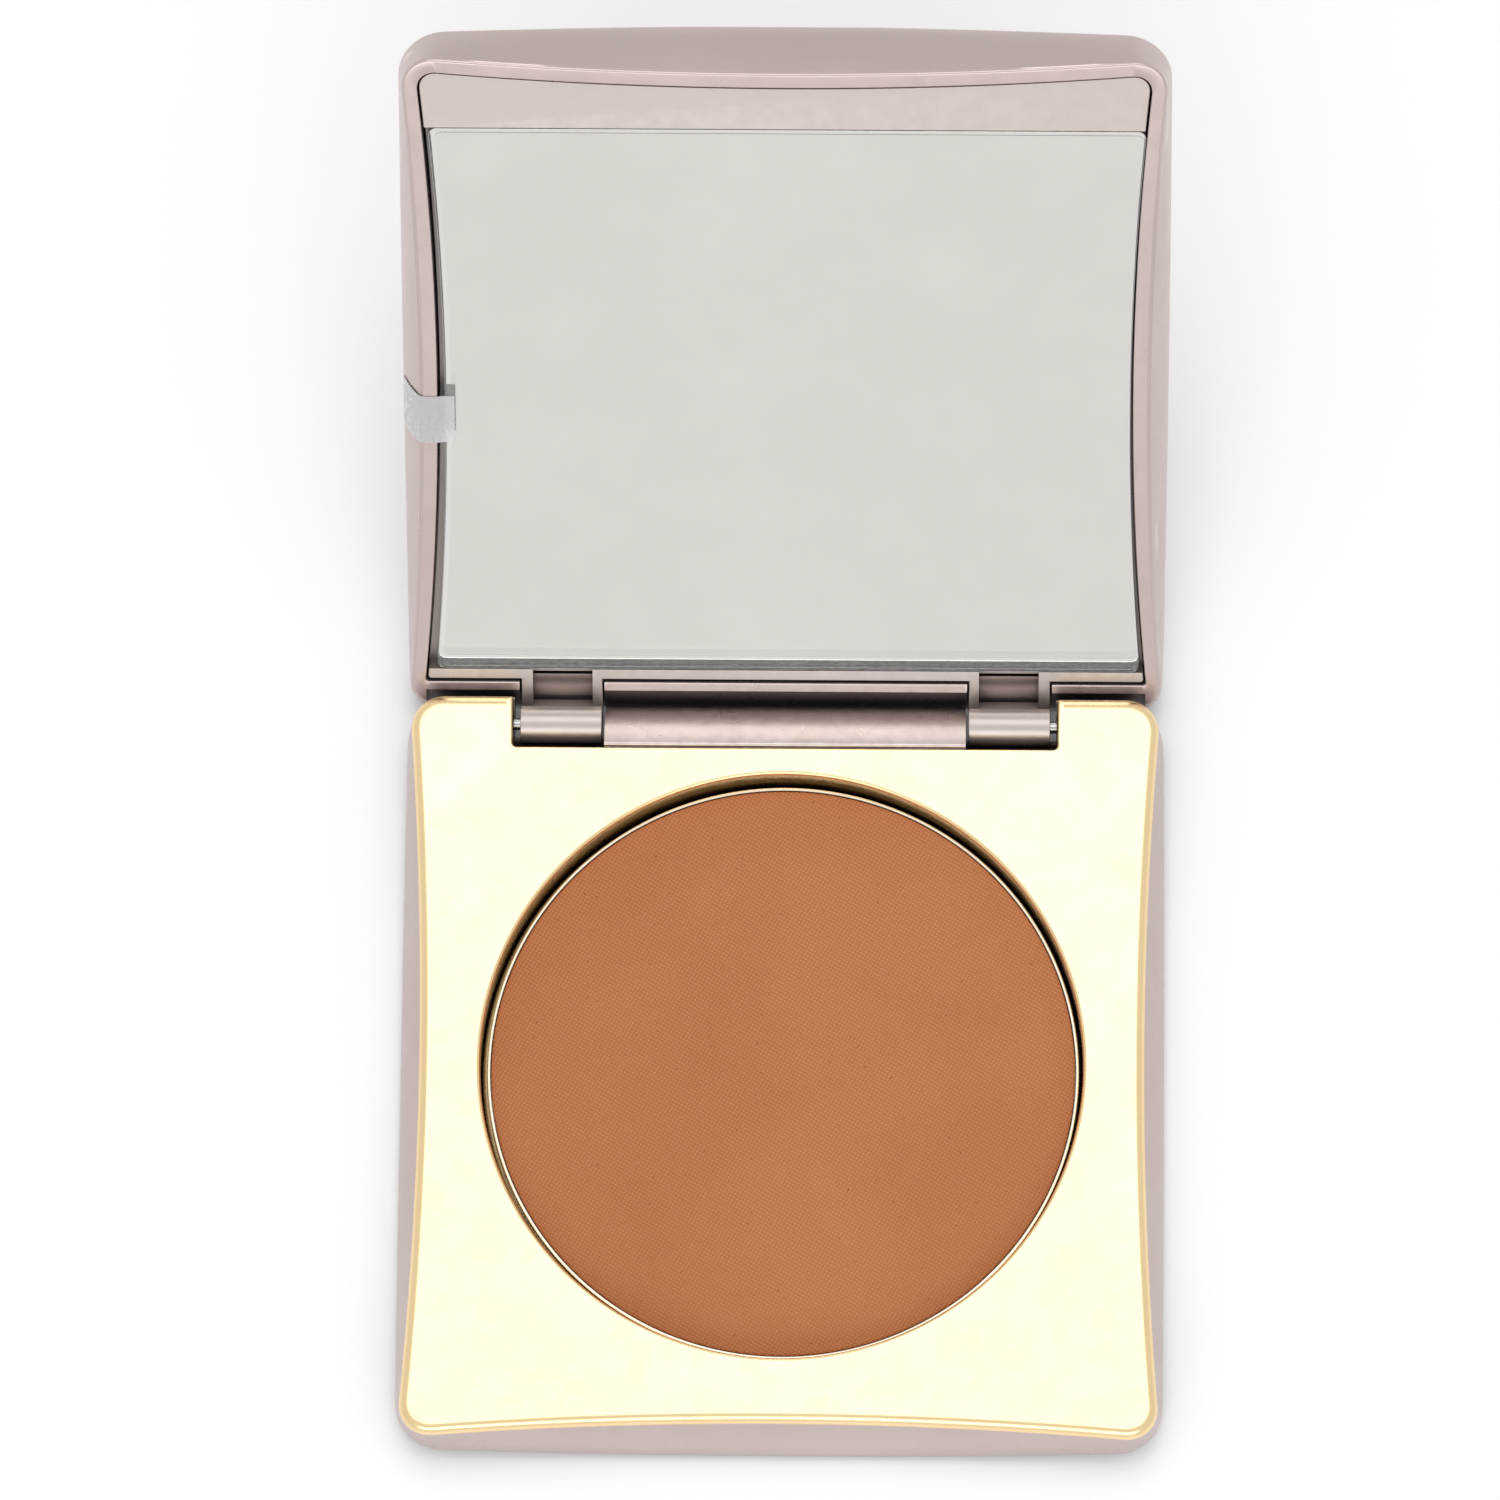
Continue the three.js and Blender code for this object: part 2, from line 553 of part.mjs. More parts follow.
// The mirror pulls in at its left and right edges only, so its ends are drawn straight.
function mirrorOutline(spec) {
  const middle = (spec.front + spec.rear) / 2;
  const halfDepth = (spec.rear - spec.front) / 2;
  const straight = outline({ ...spec, waist: 0, shift: 0 });
  return straight.map((p) => {
    const v = (p.y - middle) / halfDepth;
    return new THREE.Vector2(p.x - spec.waist * (p.x / spec.halfWidth) * (1 - v * v) + spec.shift, p.y);
  });
}

function makeMirror() {
  const middle = (MIRROR_TOP + MIRROR_BOTTOM) / 2;
  const face = LID_RIM + MIRROR_FACE;
  const back = face + MIRROR_THICKNESS;
  addPiece(lid, 'mirror_glass', plate(mirrorOutline(mirrorSpec), face, back, middle), mirrorGlass);

  const tape = { ...inset(mirrorSpec, 4), radius: 3 };
  const tapeFace = back + 0.05;
  const tapeBody = plate(mirrorOutline(tape), tapeFace, tapeFace + TAPE_THICKNESS, middle);
  addPiece(lid, 'mirror_adhesive_pad', tapeBody, whiteTape);

  const film = inset(mirrorSpec, 0.35);
  film.shift = MIRROR_SHIFT + 0.2;
  const filmBack = face - FILM_LIFT;
  const filmBody = plate(mirrorOutline(film), filmBack - FILM_THICKNESS, filmBack, middle);
  addPiece(lid, 'mirror_film', filmBody, clearFilm);
}

// Clear pull tab: stuck to the film, over the lid's left rim and down the outside of the wall.
function makePullTab() {
  const path = [
    [TAB_START, 0.1], [-34.0, 0.1], [-34.5, -0.05], [-36.2, -0.05],
    [-36.72, 0.9], [-37.22, 2.0], [-37.65, 3.2], [-37.98, 4.4],
  ].map(([x, h]) => new THREE.Vector2(x, LID_RIM + h));
  const normals = path.map((p, i) => {
    const before = path[Math.max(0, i - 1)];
    const after = path[Math.min(path.length - 1, i + 1)];
    const along = after.clone().sub(before).normalize();
    return new THREE.Vector2(along.y, -along.x);
  });
  const shape = new THREE.Shape();
  path.forEach((p, i) => (i ? shape.lineTo(p.x, p.y) : shape.moveTo(p.x, p.y)));
  for (let i = path.length - 1; i >= 0; i--) {
    const p = path[i].clone().addScaledVector(normals[i], -TAB_THICKNESS);
    shape.lineTo(p.x, p.y);
  }
  shape.closePath();
  const strip = new THREE.ExtrudeGeometry(shape, { depth: TAB_WIDTH, bevelEnabled: false });
  strip.rotateX(Math.PI / 2).translate(0, TAB_Y + TAB_WIDTH / 2, 0);
  addPiece(lid, 'film_pull_tab', toGeometry(toSolid(strip)), clearFilm);
}

function makeLidMagnets() {
  const back = LID_RIM + FRAME_BACK - MAGNET_CLEARANCE;
  for (const side of [-1, 1]) {
    const hand = side < 0 ? 'left' : 'right';
    const magnet = disc(MAGNET_RADIUS, back - MAGNET_THICKNESS, back, side * MAGNET_X, MAGNET_Y);
    addPiece(lid, `lid_magnet_${hand}`, magnet, magnetNickel);
  }
}

makeBaseShell();
makeTray();
makePowder();
makeBaseTrim();
makeLidShell();
makeLidFrame();
makeMirror();
makePullTab();
makeLidMagnets();

// The lid is drawn closed, then swung open about the hinge axis.
const hinge = new THREE.Group();
hinge.position.set(0, AXIS_Y, AXIS_Z);
hinge.rotation.x = -OPEN_ANGLE;
lid.position.set(0, -AXIS_Y, -AXIS_Z);
hinge.add(lid);
compact.add(base, hinge);

// The footprint of the open compact is centred on the origin.
compact.updateMatrixWorld(true);
const bounds = new THREE.Box3().setFromObject(compact, true);
compact.position.set(-(bounds.min.x + bounds.max.x) / 2, -(bounds.min.y + bounds.max.y) / 2, -bounds.min.z);

export default compact;
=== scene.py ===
"""An open powder compact: square pillow case, hinged mirror lid, gold tray and a pan of bronze powder.

Shapes are drawn in millimetres with the base centred on x = y = 0 and the lid closed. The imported
frame's hinge joint says where the axis is and how far the lid is open, which places both halves.
"""

import json
import math

import bmesh
import bpy
from mathutils import Matrix, Vector


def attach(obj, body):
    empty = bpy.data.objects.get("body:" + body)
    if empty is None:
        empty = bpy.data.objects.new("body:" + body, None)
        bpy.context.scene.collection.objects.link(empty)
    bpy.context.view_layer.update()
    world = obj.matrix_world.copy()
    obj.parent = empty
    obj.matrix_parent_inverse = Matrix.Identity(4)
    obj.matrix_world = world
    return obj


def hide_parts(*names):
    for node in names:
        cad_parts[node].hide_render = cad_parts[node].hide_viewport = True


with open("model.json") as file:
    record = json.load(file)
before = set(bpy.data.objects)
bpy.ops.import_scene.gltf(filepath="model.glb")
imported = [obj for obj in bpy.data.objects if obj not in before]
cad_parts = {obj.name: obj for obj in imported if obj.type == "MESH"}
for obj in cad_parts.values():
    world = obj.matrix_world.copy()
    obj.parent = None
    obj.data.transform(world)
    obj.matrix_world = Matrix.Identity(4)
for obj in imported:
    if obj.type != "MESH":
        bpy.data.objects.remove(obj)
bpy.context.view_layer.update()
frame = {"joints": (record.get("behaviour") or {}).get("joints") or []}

MM = 0.001

# ---------- driving dimensions, millimetres ----------

PLATE_HALF_WIDTH = 37.75
PLATE_FRONT = -38.2
PLATE_REAR = 38.2
PLATE_RADIUS = 3.7
WAIST = 1.67
BULGE = -0.15
FLARE = 0.2
REAR_FLARE = 0.3

BASE_HEIGHT = 6.8
PLATE_THICKNESS = 0.95
SEAM = 0.1
SEAM_LIP = 0.14
BASE_FLOOR = 1.0
EDGE_ROUND = 0.9
CORNER_LIFT = 1.5
FLAT_HALF = 9
LIFT_REACH = 38
LIFT_POWER = 1.3

WELL_RADIUS = 30.0
WELL_WALL = 0.8
WELL_BOTTOM = 1.35
WELL_FLOOR = 1.85
HOLE_FILLET = 0.4
PAN_RADIUS = 29.5
PAN_SHEET = 0.35
PAN_BOTTOM = 1.97
PAN_TOP = 4.12
PAN_SHIFT = (0.13, -0.1)

AXIS_Y = PLATE_REAR - 2.48
AXIS_Z = BASE_HEIGHT - 2.3
NOTCH_HALF = 27.2
NOTCH_FRONT = AXIS_Y - 2.85
NOTCH_CLEARANCE = 0.05
NOTCH_CORNER = 0.35
BLOCK_HALF = 18.1
RAMP_RADIUS = 8.3
RAMP_CENTRE = (AXIS_Y - 4.8, AXIS_Z - 5.89)
RAMP_ANGLES = (73, 15)
LIP_RADIUS = 0.3
POCKET_RADIUS = 2.35
POCKET_OPEN_FROM = -0.7
KNUCKLE_IN = 18.4
KNUCKLE_OUT = 26.55
KNUCKLE_RADIUS = 1.86
WINDOW_IN = 19.4
WINDOW_OUT = 25.4
PIN_RADIUS = 0.6
PIN_FROM = 19.0
PIN_TO = 31.0

CLOSED_GAP = 0.25
LID_RIM = BASE_HEIGHT + CLOSED_GAP
LID_HEIGHT = 6.8
LID_FLOOR = 1.0
RIM_WIDTH = 1.6
RIM_ROUND = 0.3
INNER_EDGE = 0.12
LID_RIM_REAR = AXIS_Y - 1.5
LID_BAR_REAR = AXIS_Y - 2.52
LID_BAR_HALF = 36.1
LID_REAR_RADIUS = 1.6
INNER_REAR_RADIUS = 0.4
LID_NOSE_REAR = AXIS_Y + 0.6
LID_NOSE_HEIGHT = 2.25
LID_TOP_REAR = AXIS_Y - 3.5
LID_RIM_INNER_REAR = AXIS_Y - 3.42
SLOT_DEPTH = 1.75
FRAME_GAP = 0.2
FRAME_FACE = 0.3
FRAME_BACK = 3.3
LUG_BACK = 1.6
ARM_LENGTH = 5.2

MIRROR_HALF_WIDTH = 35.25
MIRROR_WAIST = 1.27
MIRROR_TOP = AXIS_Y - 65.9
MIRROR_BOTTOM = AXIS_Y - 4.86
MIRROR_FACE = 0.25
MIRROR_THICKNESS = 1.75
MIRROR_SHIFT = 0.25
FACE_ARRIS = 0.03
BACK_ARRIS = 0.05
POCKET_DEPTH = 2.45
TAPE_THICKNESS = 0.3
FILM_THICKNESS = 0.08
FILM_LIFT = 0.03
TAB_WIDTH = 5.2
TAB_THICKNESS = 0.07
TAB_Y = AXIS_Y - 33.5
TAB_START = -32.8

MAGNET_RADIUS = 2.0
MAGNET_THICKNESS = 1.5
MAGNET_X = 28
MAGNET_Y = AXIS_Y - 68.5
MAGNET_CLEARANCE = 0.1

LABEL_RADIUS = 14
LABEL_THICKNESS = 0.12
LABEL_RECESS = 0.3

CORNER_STEPS = 12
ROUND_STEPS = 192

# ---------- placing the halves ----------

hinge = frame["joints"][0]
axis_at = Vector(hinge["pos_m"]) / MM
open_angle = math.radians(-hinge["range_deg"][0])
axis_drawn = Matrix.Translation((0, AXIS_Y, AXIS_Z))
to_packed = Matrix.Scale(MM, 4) @ Matrix.Translation(axis_at - Vector((0, AXIS_Y, AXIS_Z)))
BASE_PLACE = to_packed
LID_PLACE = to_packed @ axis_drawn @ Matrix.Rotation(-open_angle, 4, "X") @ axis_drawn.inverted()


# ---------- outlines ----------


def mix(a, b, t):
    return a + (b - a) * t


def spread(count, start=0.0, end=1.0):
    """count + 1 evenly spaced values from start to end."""
    return [mix(start, end, i / count) for i in range(count + 1)]


def corner_lift(x, y):
    """How far the outer faces rise towards their corners."""

    def reach(t):
        return max(0.0, (abs(t) - FLAT_HALF) / (LIFT_REACH - FLAT_HALF))

    return CORNER_LIFT * (reach(x) * reach(y)) ** LIFT_POWER


def rounded_box_path(half_width, front, rear, front_radius, rear_radius):
    """Anticlockwise points of a rounded rectangle, starting on its right side near the rear."""
    points = []
    for sx, sy, start in ((1, 1, 0), (-1, 1, 90), (-1, -1, 180), (1, -1, 270)):
        radius = rear_radius if sy > 0 else front_radius
        cx = sx * (half_width - radius)
        cy = (rear - radius) if sy > 0 else (front + radius)
        for k in range(CORNER_STEPS + 1):
            a = math.radians(start + 90 * k / CORNER_STEPS)
            points.append(Vector((cx + radius * math.cos(a), cy + radius * math.sin(a))))
    return points


def outline(spec, side_steps=48):
    """Rounded rectangle whose sides pull in by waist between their corners."""
    half_width, front, rear = spec["half_width"], spec["front"], spec["rear"]
    rear_radius = spec.get("rear_radius", spec["radius"])
    arcs = rounded_box_path(half_width, front, rear, spec["radius"], rear_radius)
    points = []
    count = len(arcs)
    for i, p in enumerate(arcs):
        points.append(p)
        if (i + 1) % (CORNER_STEPS + 1) == 0:
            q = arcs[(i + 1) % count]
            points += [p.lerp(q, k / side_steps) for k in range(1, side_steps)]
    half_depth = (rear - front) / 2
    middle = (rear + front) / 2
    warped = []
    for p in points:
        u = p.x / half_width
        v = (p.y - middle) / half_depth
        end_waist = spec.get("end_waist", spec["waist"]) if v < 0 else 0.0
        x = p.x - spec["waist"] * u * (1 - v * v) + spec.get("shift", 0.0)
        warped.append(Vector((x, p.y - end_waist * v * (1 - u * u))))
    return warped


def shrink(points, factor, middle):
    return [Vector((p.x * factor, middle + (p.y - middle) * factor)) for p in points]


def raised(points, height):
    """Lifts 2-D points to a height, which may depend on x and y."""
    if callable(height):
        return [Vector((p.x, p.y, height(p.x, p.y))) for p in points]
    return [Vector((p.x, p.y, height)) for p in points]


def circle(radius, steps=ROUND_STEPS, centre=(0, 0)):
    turn = [2 * math.pi * k / steps for k in range(steps)]
    return [Vector((centre[0] + radius * math.cos(a), centre[1] + radius * math.sin(a))) for a in turn]


def corner_normal(before, point, after):
    """Outward mitre of an anticlockwise outline at a point, and its plain unit normal."""
    first = (point - before).normalized()
    second = (after - point).normalized()
    n1 = Vector((first.y, -first.x))
    n2 = Vector((second.y, -second.x))
    n = (n1 + n2).normalized()
    return n / max(0.5, n.dot(n1)), n


def pulled_in(points, amount):
    """The outline moved inwards by an amount, which may depend on the point and its normal."""
    count = len(points)
    moved = []
    for i, p in enumerate(points):
        mitre, n = corner_normal(points[i - 1], p, points[(i + 1) % count])
        by = amount(p, n) if callable(amount) else amount
        moved.append(p - mitre * by)
    return moved


def rounded_path(corners, steps=5):
    """A polyline whose (point, radius) corners are replaced by arcs; its two ends stay as they are."""
    points = [Vector(corners[0][0])]
    for i in range(1, len(corners) - 1):
        p = Vector(corners[i][0])
        to_last = (Vector(corners[i - 1][0]) - p).normalized()
        to_next = (Vector(corners[i + 1][0]) - p).normalized()
        half = to_last.angle(to_next) / 2
        radius = corners[i][1]
        reach = radius / math.tan(half)
        start = p + to_last * reach
        end = p + to_next * reach
        centre = p + (to_last + to_next).normalized() * (radius / math.sin(half))
        for k in range(steps + 1):
            t = k / steps
            chord = start.lerp(end, t) - centre
            points.append(centre + chord.normalized() * radius)
    points.append(Vector(corners[-1][0]))
    return points


# ---------- mesh building ----------


class Builder:
    """Collects rings and faces of one piece in millimetres."""

    def __init__(self):
        self.bm = bmesh.new()

    def ring(self, points):
        return [self.bm.verts.new(p) for p in points]

    def bridge(self, low, high):
        count = len(low)
        for k in range(count):
            n = (k + 1) % count
            self.bm.faces.new((low[k], low[n], high[n], high[k]))

    def stack(self, rings):
        made = [self.ring(r) for r in rings]
        for low, high in zip(made, made[1:]):
            self.bridge(low, high)
        return made

    def cap(self, ring, facing_up):
        self.bm.faces.new(ring if facing_up else list(reversed(ring)))

    def fan(self, ring, centre, facing_up):
        middle = self.bm.verts.new(centre)
        count = len(ring)
        for k in range(count):
            n = (k + 1) % count
            face = (ring[k], ring[n], middle) if facing_up else (ring[n], ring[k], middle)
            self.bm.faces.new(face)

    def fill_between(self, outer, inner):
        """Flat face between two loops at one height."""
        edges = []
        for ring in (outer, inner):
            for k, v in enumerate(ring):
                edges.append(self.bm.edges.get((v, ring[(k + 1) % len(ring)])))
        bmesh.ops.triangle_fill(self.bm, edges=edges, use_beauty=True)

    def mesh(self, name):
        bmesh.ops.recalc_face_normals(self.bm, faces=self.bm.faces)
        data = bpy.data.meshes.new(name)
        self.bm.to_mesh(data)
        self.bm.free()
        return data


def box_mesh(x, y, z):
    b = Builder()
    low, high = (b.ring([Vector((x[i], y[j], h)) for i, j in ((0, 0), (1, 0), (1, 1), (0, 1))]) for h in z)
    b.bridge(low, high)
    b.cap(low, False)
    b.cap(high, True)
    return b.mesh("box")


def prism_mesh(points, low, high):
    """Upright prism over a 2-D outline."""
    b = Builder()
    rings = b.stack([raised(points, low), raised(points, high)])
    b.cap(rings[0], False)
    b.cap(rings[1], True)
    return b.mesh("prism")


def across_mesh(profile, x0, x1):
    """Prism along X over a (y, z) outline."""
    b = Builder()
    rings = b.stack([[Vector((x, p[0], p[1])) for p in profile] for x in (x0, x1)])
    b.cap(rings[0], False)
    b.cap(rings[1], True)
    return b.mesh("across")


def axis_rod(radius, x0, x1, steps=96):
    return across_mesh(circle(radius, steps, (AXIS_Y, AXIS_Z)), x0, x1)


def turned_mesh(profile, steps=ROUND_STEPS, centre=(0, 0)):
    """Solid of revolution from (radius, height) points that start and end on the axis."""
    b = Builder()
    rings = b.stack([raised(circle(r, steps, centre), z) for r, z in profile[1:-1]])
    b.fan(rings[0], (centre[0], centre[1], profile[0][1]), False)
    b.fan(rings[-1], (centre[0], centre[1], profile[-1][1]), True)
    return b.mesh("turned")


def scratch(mesh):
    obj = bpy.data.objects.new("scratch", mesh)
    bpy.context.scene.collection.objects.link(obj)
    return obj


def applied(obj):
    """Replaces an object's mesh by the result of its modifiers."""
    bpy.context.view_layer.update()
    done = bpy.data.meshes.new_from_object(obj.evaluated_get(bpy.context.evaluated_depsgraph_get()))
    obj.modifiers.clear()
    obj.data = done
    return obj


def combined(mesh, steps):
    """The mesh after a list of ("UNION" or "DIFFERENCE", mesh) steps."""
    obj = scratch(mesh)
    for operation, tool_mesh in steps:
        tool = scratch(tool_mesh)
        cut = obj.modifiers.new("cut", "BOOLEAN")
        cut.solver = "MANIFOLD"
        cut.operation = operation
        cut.object = tool
        applied(obj)
        bpy.data.objects.remove(tool)
    result = obj.data
    bpy.data.objects.remove(obj)
    return result


def bevelled(mesh, width, segments=3, angle=40):
    obj = scratch(mesh)
    bevel = obj.modifiers.new("bevel", "BEVEL")
    bevel.width = width
    bevel.segments = segments
    bevel.limit_method = "ANGLE"
    bevel.angle_limit = math.radians(angle)
    bevel.use_clamp_overlap = True
    applied(obj)
    result = obj.data
    bpy.data.objects.remove(obj)
    return result


def piece(node, mesh, place, body, material, sharp=35):
    """Turns a millimetre mesh into the visible piece that stands for a CAD node."""
    mesh.transform(place)
    mesh.materials.clear()
    mesh.materials.append(material)
    mesh.shade_smooth()
    mesh.set_sharp_from_angle(angle=math.radians(sharp))
    obj = bpy.data.objects.new(node + "_fine", mesh)
    bpy.context.scene.collection.objects.link(obj)
    normals = obj.modifiers.new("normals", "WEIGHTED_NORMAL")
    normals.keep_sharp = True
    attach(obj, body)
    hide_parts(node)
    return obj


# ---------- materials ----------


def new_material(name):
    material = bpy.data.materials.new(name)
    material.use_nodes = True
    tree = material.node_tree
    return material, tree, tree.nodes["Principled BSDF"]


def node(tree, kind, **settings):
    made = tree.nodes.new(kind)
    for key, value in settings.items():
        if key in made.inputs:
            made.inputs[key].default_value = value
        else:
            setattr(made, key, value)
    return made


def noise(tree, scale, detail=3.0, roughness=0.55):
    where = tree.nodes.new("ShaderNodeTexCoord")
    made = node(tree, "ShaderNodeTexNoise", Scale=scale, Detail=detail, Roughness=roughness)
    tree.links.new(where.outputs["Object"], made.inputs["Vector"])
    return made.outputs["Fac"]


def ramp(tree, fac, stops):
    made = tree.nodes.new("ShaderNodeValToRGB")
    tree.links.new(fac, made.inputs["Fac"])
    elements = made.color_ramp.elements
    while len(elements) < len(stops):
        elements.new(0.5)
    for element, (position, value) in zip(elements, stops):
        element.position = position
        colour = value if isinstance(value, tuple) else (value, value, value)
        element.color = (*colour, 1)
    return made.outputs["Color"]


def to_range(tree, fac, low, high, from_low=0.3, from_high=0.7):
    made = tree.nodes.new("ShaderNodeMapRange")
    made.inputs["From Min"].default_value = from_low
    made.inputs["From Max"].default_value = from_high
    made.inputs["To Min"].default_value = low
    made.inputs["To Max"].default_value = high
    tree.links.new(fac, made.inputs["Value"])
    return made.outputs["Result"]


def bump(tree, shader, height, strength, distance):
    made = node(tree, "ShaderNodeBump", Strength=strength, Distance=distance)
    tree.links.new(height, made.inputs["Height"])
    tree.links.new(made.outputs["Normal"], shader.inputs["Normal"])


def linear(r, g, b):
    """sRGB 0-255 to linear."""

    def one(c):
        c = c / 255
        return c / 12.92 if c <= 0.04045 else ((c + 0.055) / 1.055) ** 2.4

    return (one(r), one(g), one(b))


# Painted shade: an ambient occlusion node darkens the base colour in crevices and between parts, within this
# reach and ramp.
PAINTED_SHADE_REACH = 0.003
PAINTED_SHADE_DEEP = 0.15
PAINTED_SHADE_OPEN = 0.62


def worn_metal(name, colour, worn, shade, roughness, metallic, painted_shade_tone=1.0):
    """Satin plated plastic: slow tone change, lighter rubbed edges, fine grain, and painted shade from
    ambient occlusion in crevices and between parts.
    """
    material, tree, shader = new_material(name)
    tone = ramp(tree, noise(tree, 60.0), [(0.3, shade), (0.7, colour)])
    geometry = tree.nodes.new("ShaderNodeNewGeometry")
    edge = to_range(tree, geometry.outputs["Pointiness"], 0.0, 1.0, 0.52, 0.6)
    patchy = node(tree, "ShaderNodeMath", operation="MULTIPLY")
    tree.links.new(edge, patchy.inputs[0])
    tree.links.new(to_range(tree, noise(tree, 700.0), 0.1, 0.8), patchy.inputs[1])
    blend = node(tree, "ShaderNodeMix", data_type="RGBA")
    tree.links.new(patchy.outputs[0], blend.inputs["Factor"])
    tree.links.new(tone, blend.inputs["A"])
    blend.inputs["B"].default_value = (*worn, 1)
    # Painted shade: the colour is multiplied darker where nearby surfaces occlude, down to the given tone.
    painted_shade_ao = node(tree, "ShaderNodeAmbientOcclusion", samples=6, Distance=PAINTED_SHADE_REACH)
    painted_shade_mix = node(tree, "ShaderNodeMix", data_type="RGBA", blend_type="MULTIPLY")
    painted_shade_mix.inputs["Factor"].default_value = 1.0
    tree.links.new(blend.outputs["Result"], painted_shade_mix.inputs["A"])
    painted_shade_stops = [(PAINTED_SHADE_DEEP, painted_shade_tone), (PAINTED_SHADE_OPEN, 1.0)]
    tree.links.new(ramp(tree, painted_shade_ao.outputs["AO"], painted_shade_stops), painted_shade_mix.inputs["B"])
    tree.links.new(painted_shade_mix.outputs["Result"], shader.inputs["Base Color"])
    shader.inputs["Metallic"].default_value = metallic
    low, high = roughness
    tree.links.new(to_range(tree, noise(tree, 350.0, 5.0), low, high), shader.inputs["Roughness"])
    bump(tree, shader, noise(tree, 9000.0, 2.0), 0.05, 0.00002)
    return material


def powder_material():
    """Pressed powder: warm bronze, woven press-cloth imprint with painted shade in its low threads, scattered
    darker grains.
    """
    material, tree, shader = new_material("bronze_powder")
    deep = linear(204, 126, 81)
    warm = linear(217, 142, 95)
    tone = ramp(tree, noise(tree, 45.0, 4.0), [(0.2, deep), (0.8, warm)])
    specks = ramp(tree, noise(tree, 2600.0, 2.0), [(0.24, linear(120, 66, 38)), (0.3, (1, 1, 1))])
    speckled = node(tree, "ShaderNodeMix", data_type="RGBA", blend_type="MULTIPLY")
    speckled.inputs["Factor"].default_value = 0.5
    tree.links.new(tone, speckled.inputs["A"])
    tree.links.new(specks, speckled.inputs["B"])
    tree.links.new(to_range(tree, noise(tree, 900.0), 0.75, 0.95), shader.inputs["Roughness"])
    shader.inputs["Specular IOR Level"].default_value = 0.25
    where = tree.nodes.new("ShaderNodeTexCoord")
    turned = node(tree, "ShaderNodeMapping")
    turned.inputs["Rotation"].default_value = (0, 0, math.radians(30))
    tree.links.new(where.outputs["Object"], turned.inputs["Vector"])
    weave = None
    for direction in ("X", "Y"):
        wave = node(tree, "ShaderNodeTexWave", bands_direction=direction, Scale=850.0, Distortion=1.2)
        wave.inputs["Detail Scale"].default_value = 3.0
        tree.links.new(turned.outputs["Vector"], wave.inputs["Vector"])
        if weave is None:
            weave = wave.outputs["Fac"]
        else:
            crossed = node(tree, "ShaderNodeMath", operation="MULTIPLY")
            tree.links.new(weave, crossed.inputs[0])
            tree.links.new(wave.outputs["Fac"], crossed.inputs[1])
            weave = crossed.outputs[0]
    # Painted shade: the colour is multiplied darker where the weave pattern is low, standing in for shade in
    # the imprint's grooves; the same pattern drives the bump.
    weave_painted_shade = node(tree, "ShaderNodeMix", data_type="RGBA", blend_type="MULTIPLY")
    weave_painted_shade.inputs["Factor"].default_value = 1.0
    tree.links.new(speckled.outputs["Result"], weave_painted_shade.inputs["A"])
    tree.links.new(ramp(tree, weave, [(0.0, 0.74), (0.5, 1.0)]), weave_painted_shade.inputs["B"])
    tree.links.new(weave_painted_shade.outputs["Result"], shader.inputs["Base Color"])
    bump(tree, shader, weave, 0.8, 0.0001)
    return material


def glass_material():
    material, tree, shader = new_material("mirror_glass")
    tint = ramp(tree, noise(tree, 200.0), [(0.3, (0.985, 0.985, 0.98)), (0.7, (0.99, 0.992, 0.988))])
    tree.links.new(tint, shader.inputs["Base Color"])
    shader.inputs["Transmission Weight"].default_value = 1.0
    shader.inputs["IOR"].default_value = 1.52
    tree.links.new(to_range(tree, noise(tree, 300.0), 0.0, 0.01), shader.inputs["Roughness"])
    bump(tree, shader, noise(tree, 40.0), 0.02, 0.00001)
    return material


def ground_edge_material():
    material, tree, shader = new_material("mirror_ground_edge")
    tint = ramp(tree, noise(tree, 1500.0, 4.0), [(0.3, (0.34, 0.35, 0.345)), (0.7, (0.70, 0.72, 0.71))])
    tree.links.new(tint, shader.inputs["Base Color"])
    tree.links.new(to_range(tree, noise(tree, 2500.0), 0.25, 0.6), shader.inputs["Roughness"])
    bump(tree, shader, noise(tree, 2500.0), 0.6, 0.00005)
    return material


def silver_material():
    material, tree, shader = new_material("mirror_silver")
    tint = ramp(tree, noise(tree, 90.0), [(0.3, (0.93, 0.90, 0.87)), (0.7, (0.95, 0.925, 0.895))])
    tree.links.new(tint, shader.inputs["Base Color"])
    shader.inputs["Metallic"].default_value = 1.0
    tree.links.new(to_range(tree, noise(tree, 500.0), 0.0, 0.02), shader.inputs["Roughness"])
    bump(tree, shader, noise(tree, 30.0), 0.01, 0.00001)
    return material


def film_material(name, roughness, tint, clearness):
    material, tree, shader = new_material(name)
    low, high = tint
    colour = ramp(tree, noise(tree, 120.0), [(0.3, low), (0.7, high)])
    tree.links.new(colour, shader.inputs["Base Color"])
    shader.inputs["Transmission Weight"].default_value = clearness
    shader.inputs["IOR"].default_value = 1.45
    rough_low, rough_high = roughness
    tree.links.new(to_range(tree, noise(tree, 250.0, 4.0), rough_low, rough_high), shader.inputs["Roughness"])
    bump(tree, shader, noise(tree, 80.0), 0.05, 0.00002)
    return material


def plain_material(name, dark, light, roughness, grain, metallic=0.0):
    material, tree, shader = new_material(name)
    tree.links.new(ramp(tree, noise(tree, grain), [(0.3, dark), (0.7, light)]), shader.inputs["Base Color"])
    low, high = roughness
    tree.links.new(to_range(tree, noise(tree, grain * 2), low, high), shader.inputs["Roughness"])
    shader.inputs["Metallic"].default_value = metallic
    bump(tree, shader, noise(tree, grain * 4), 0.15, 0.00002)
    return material
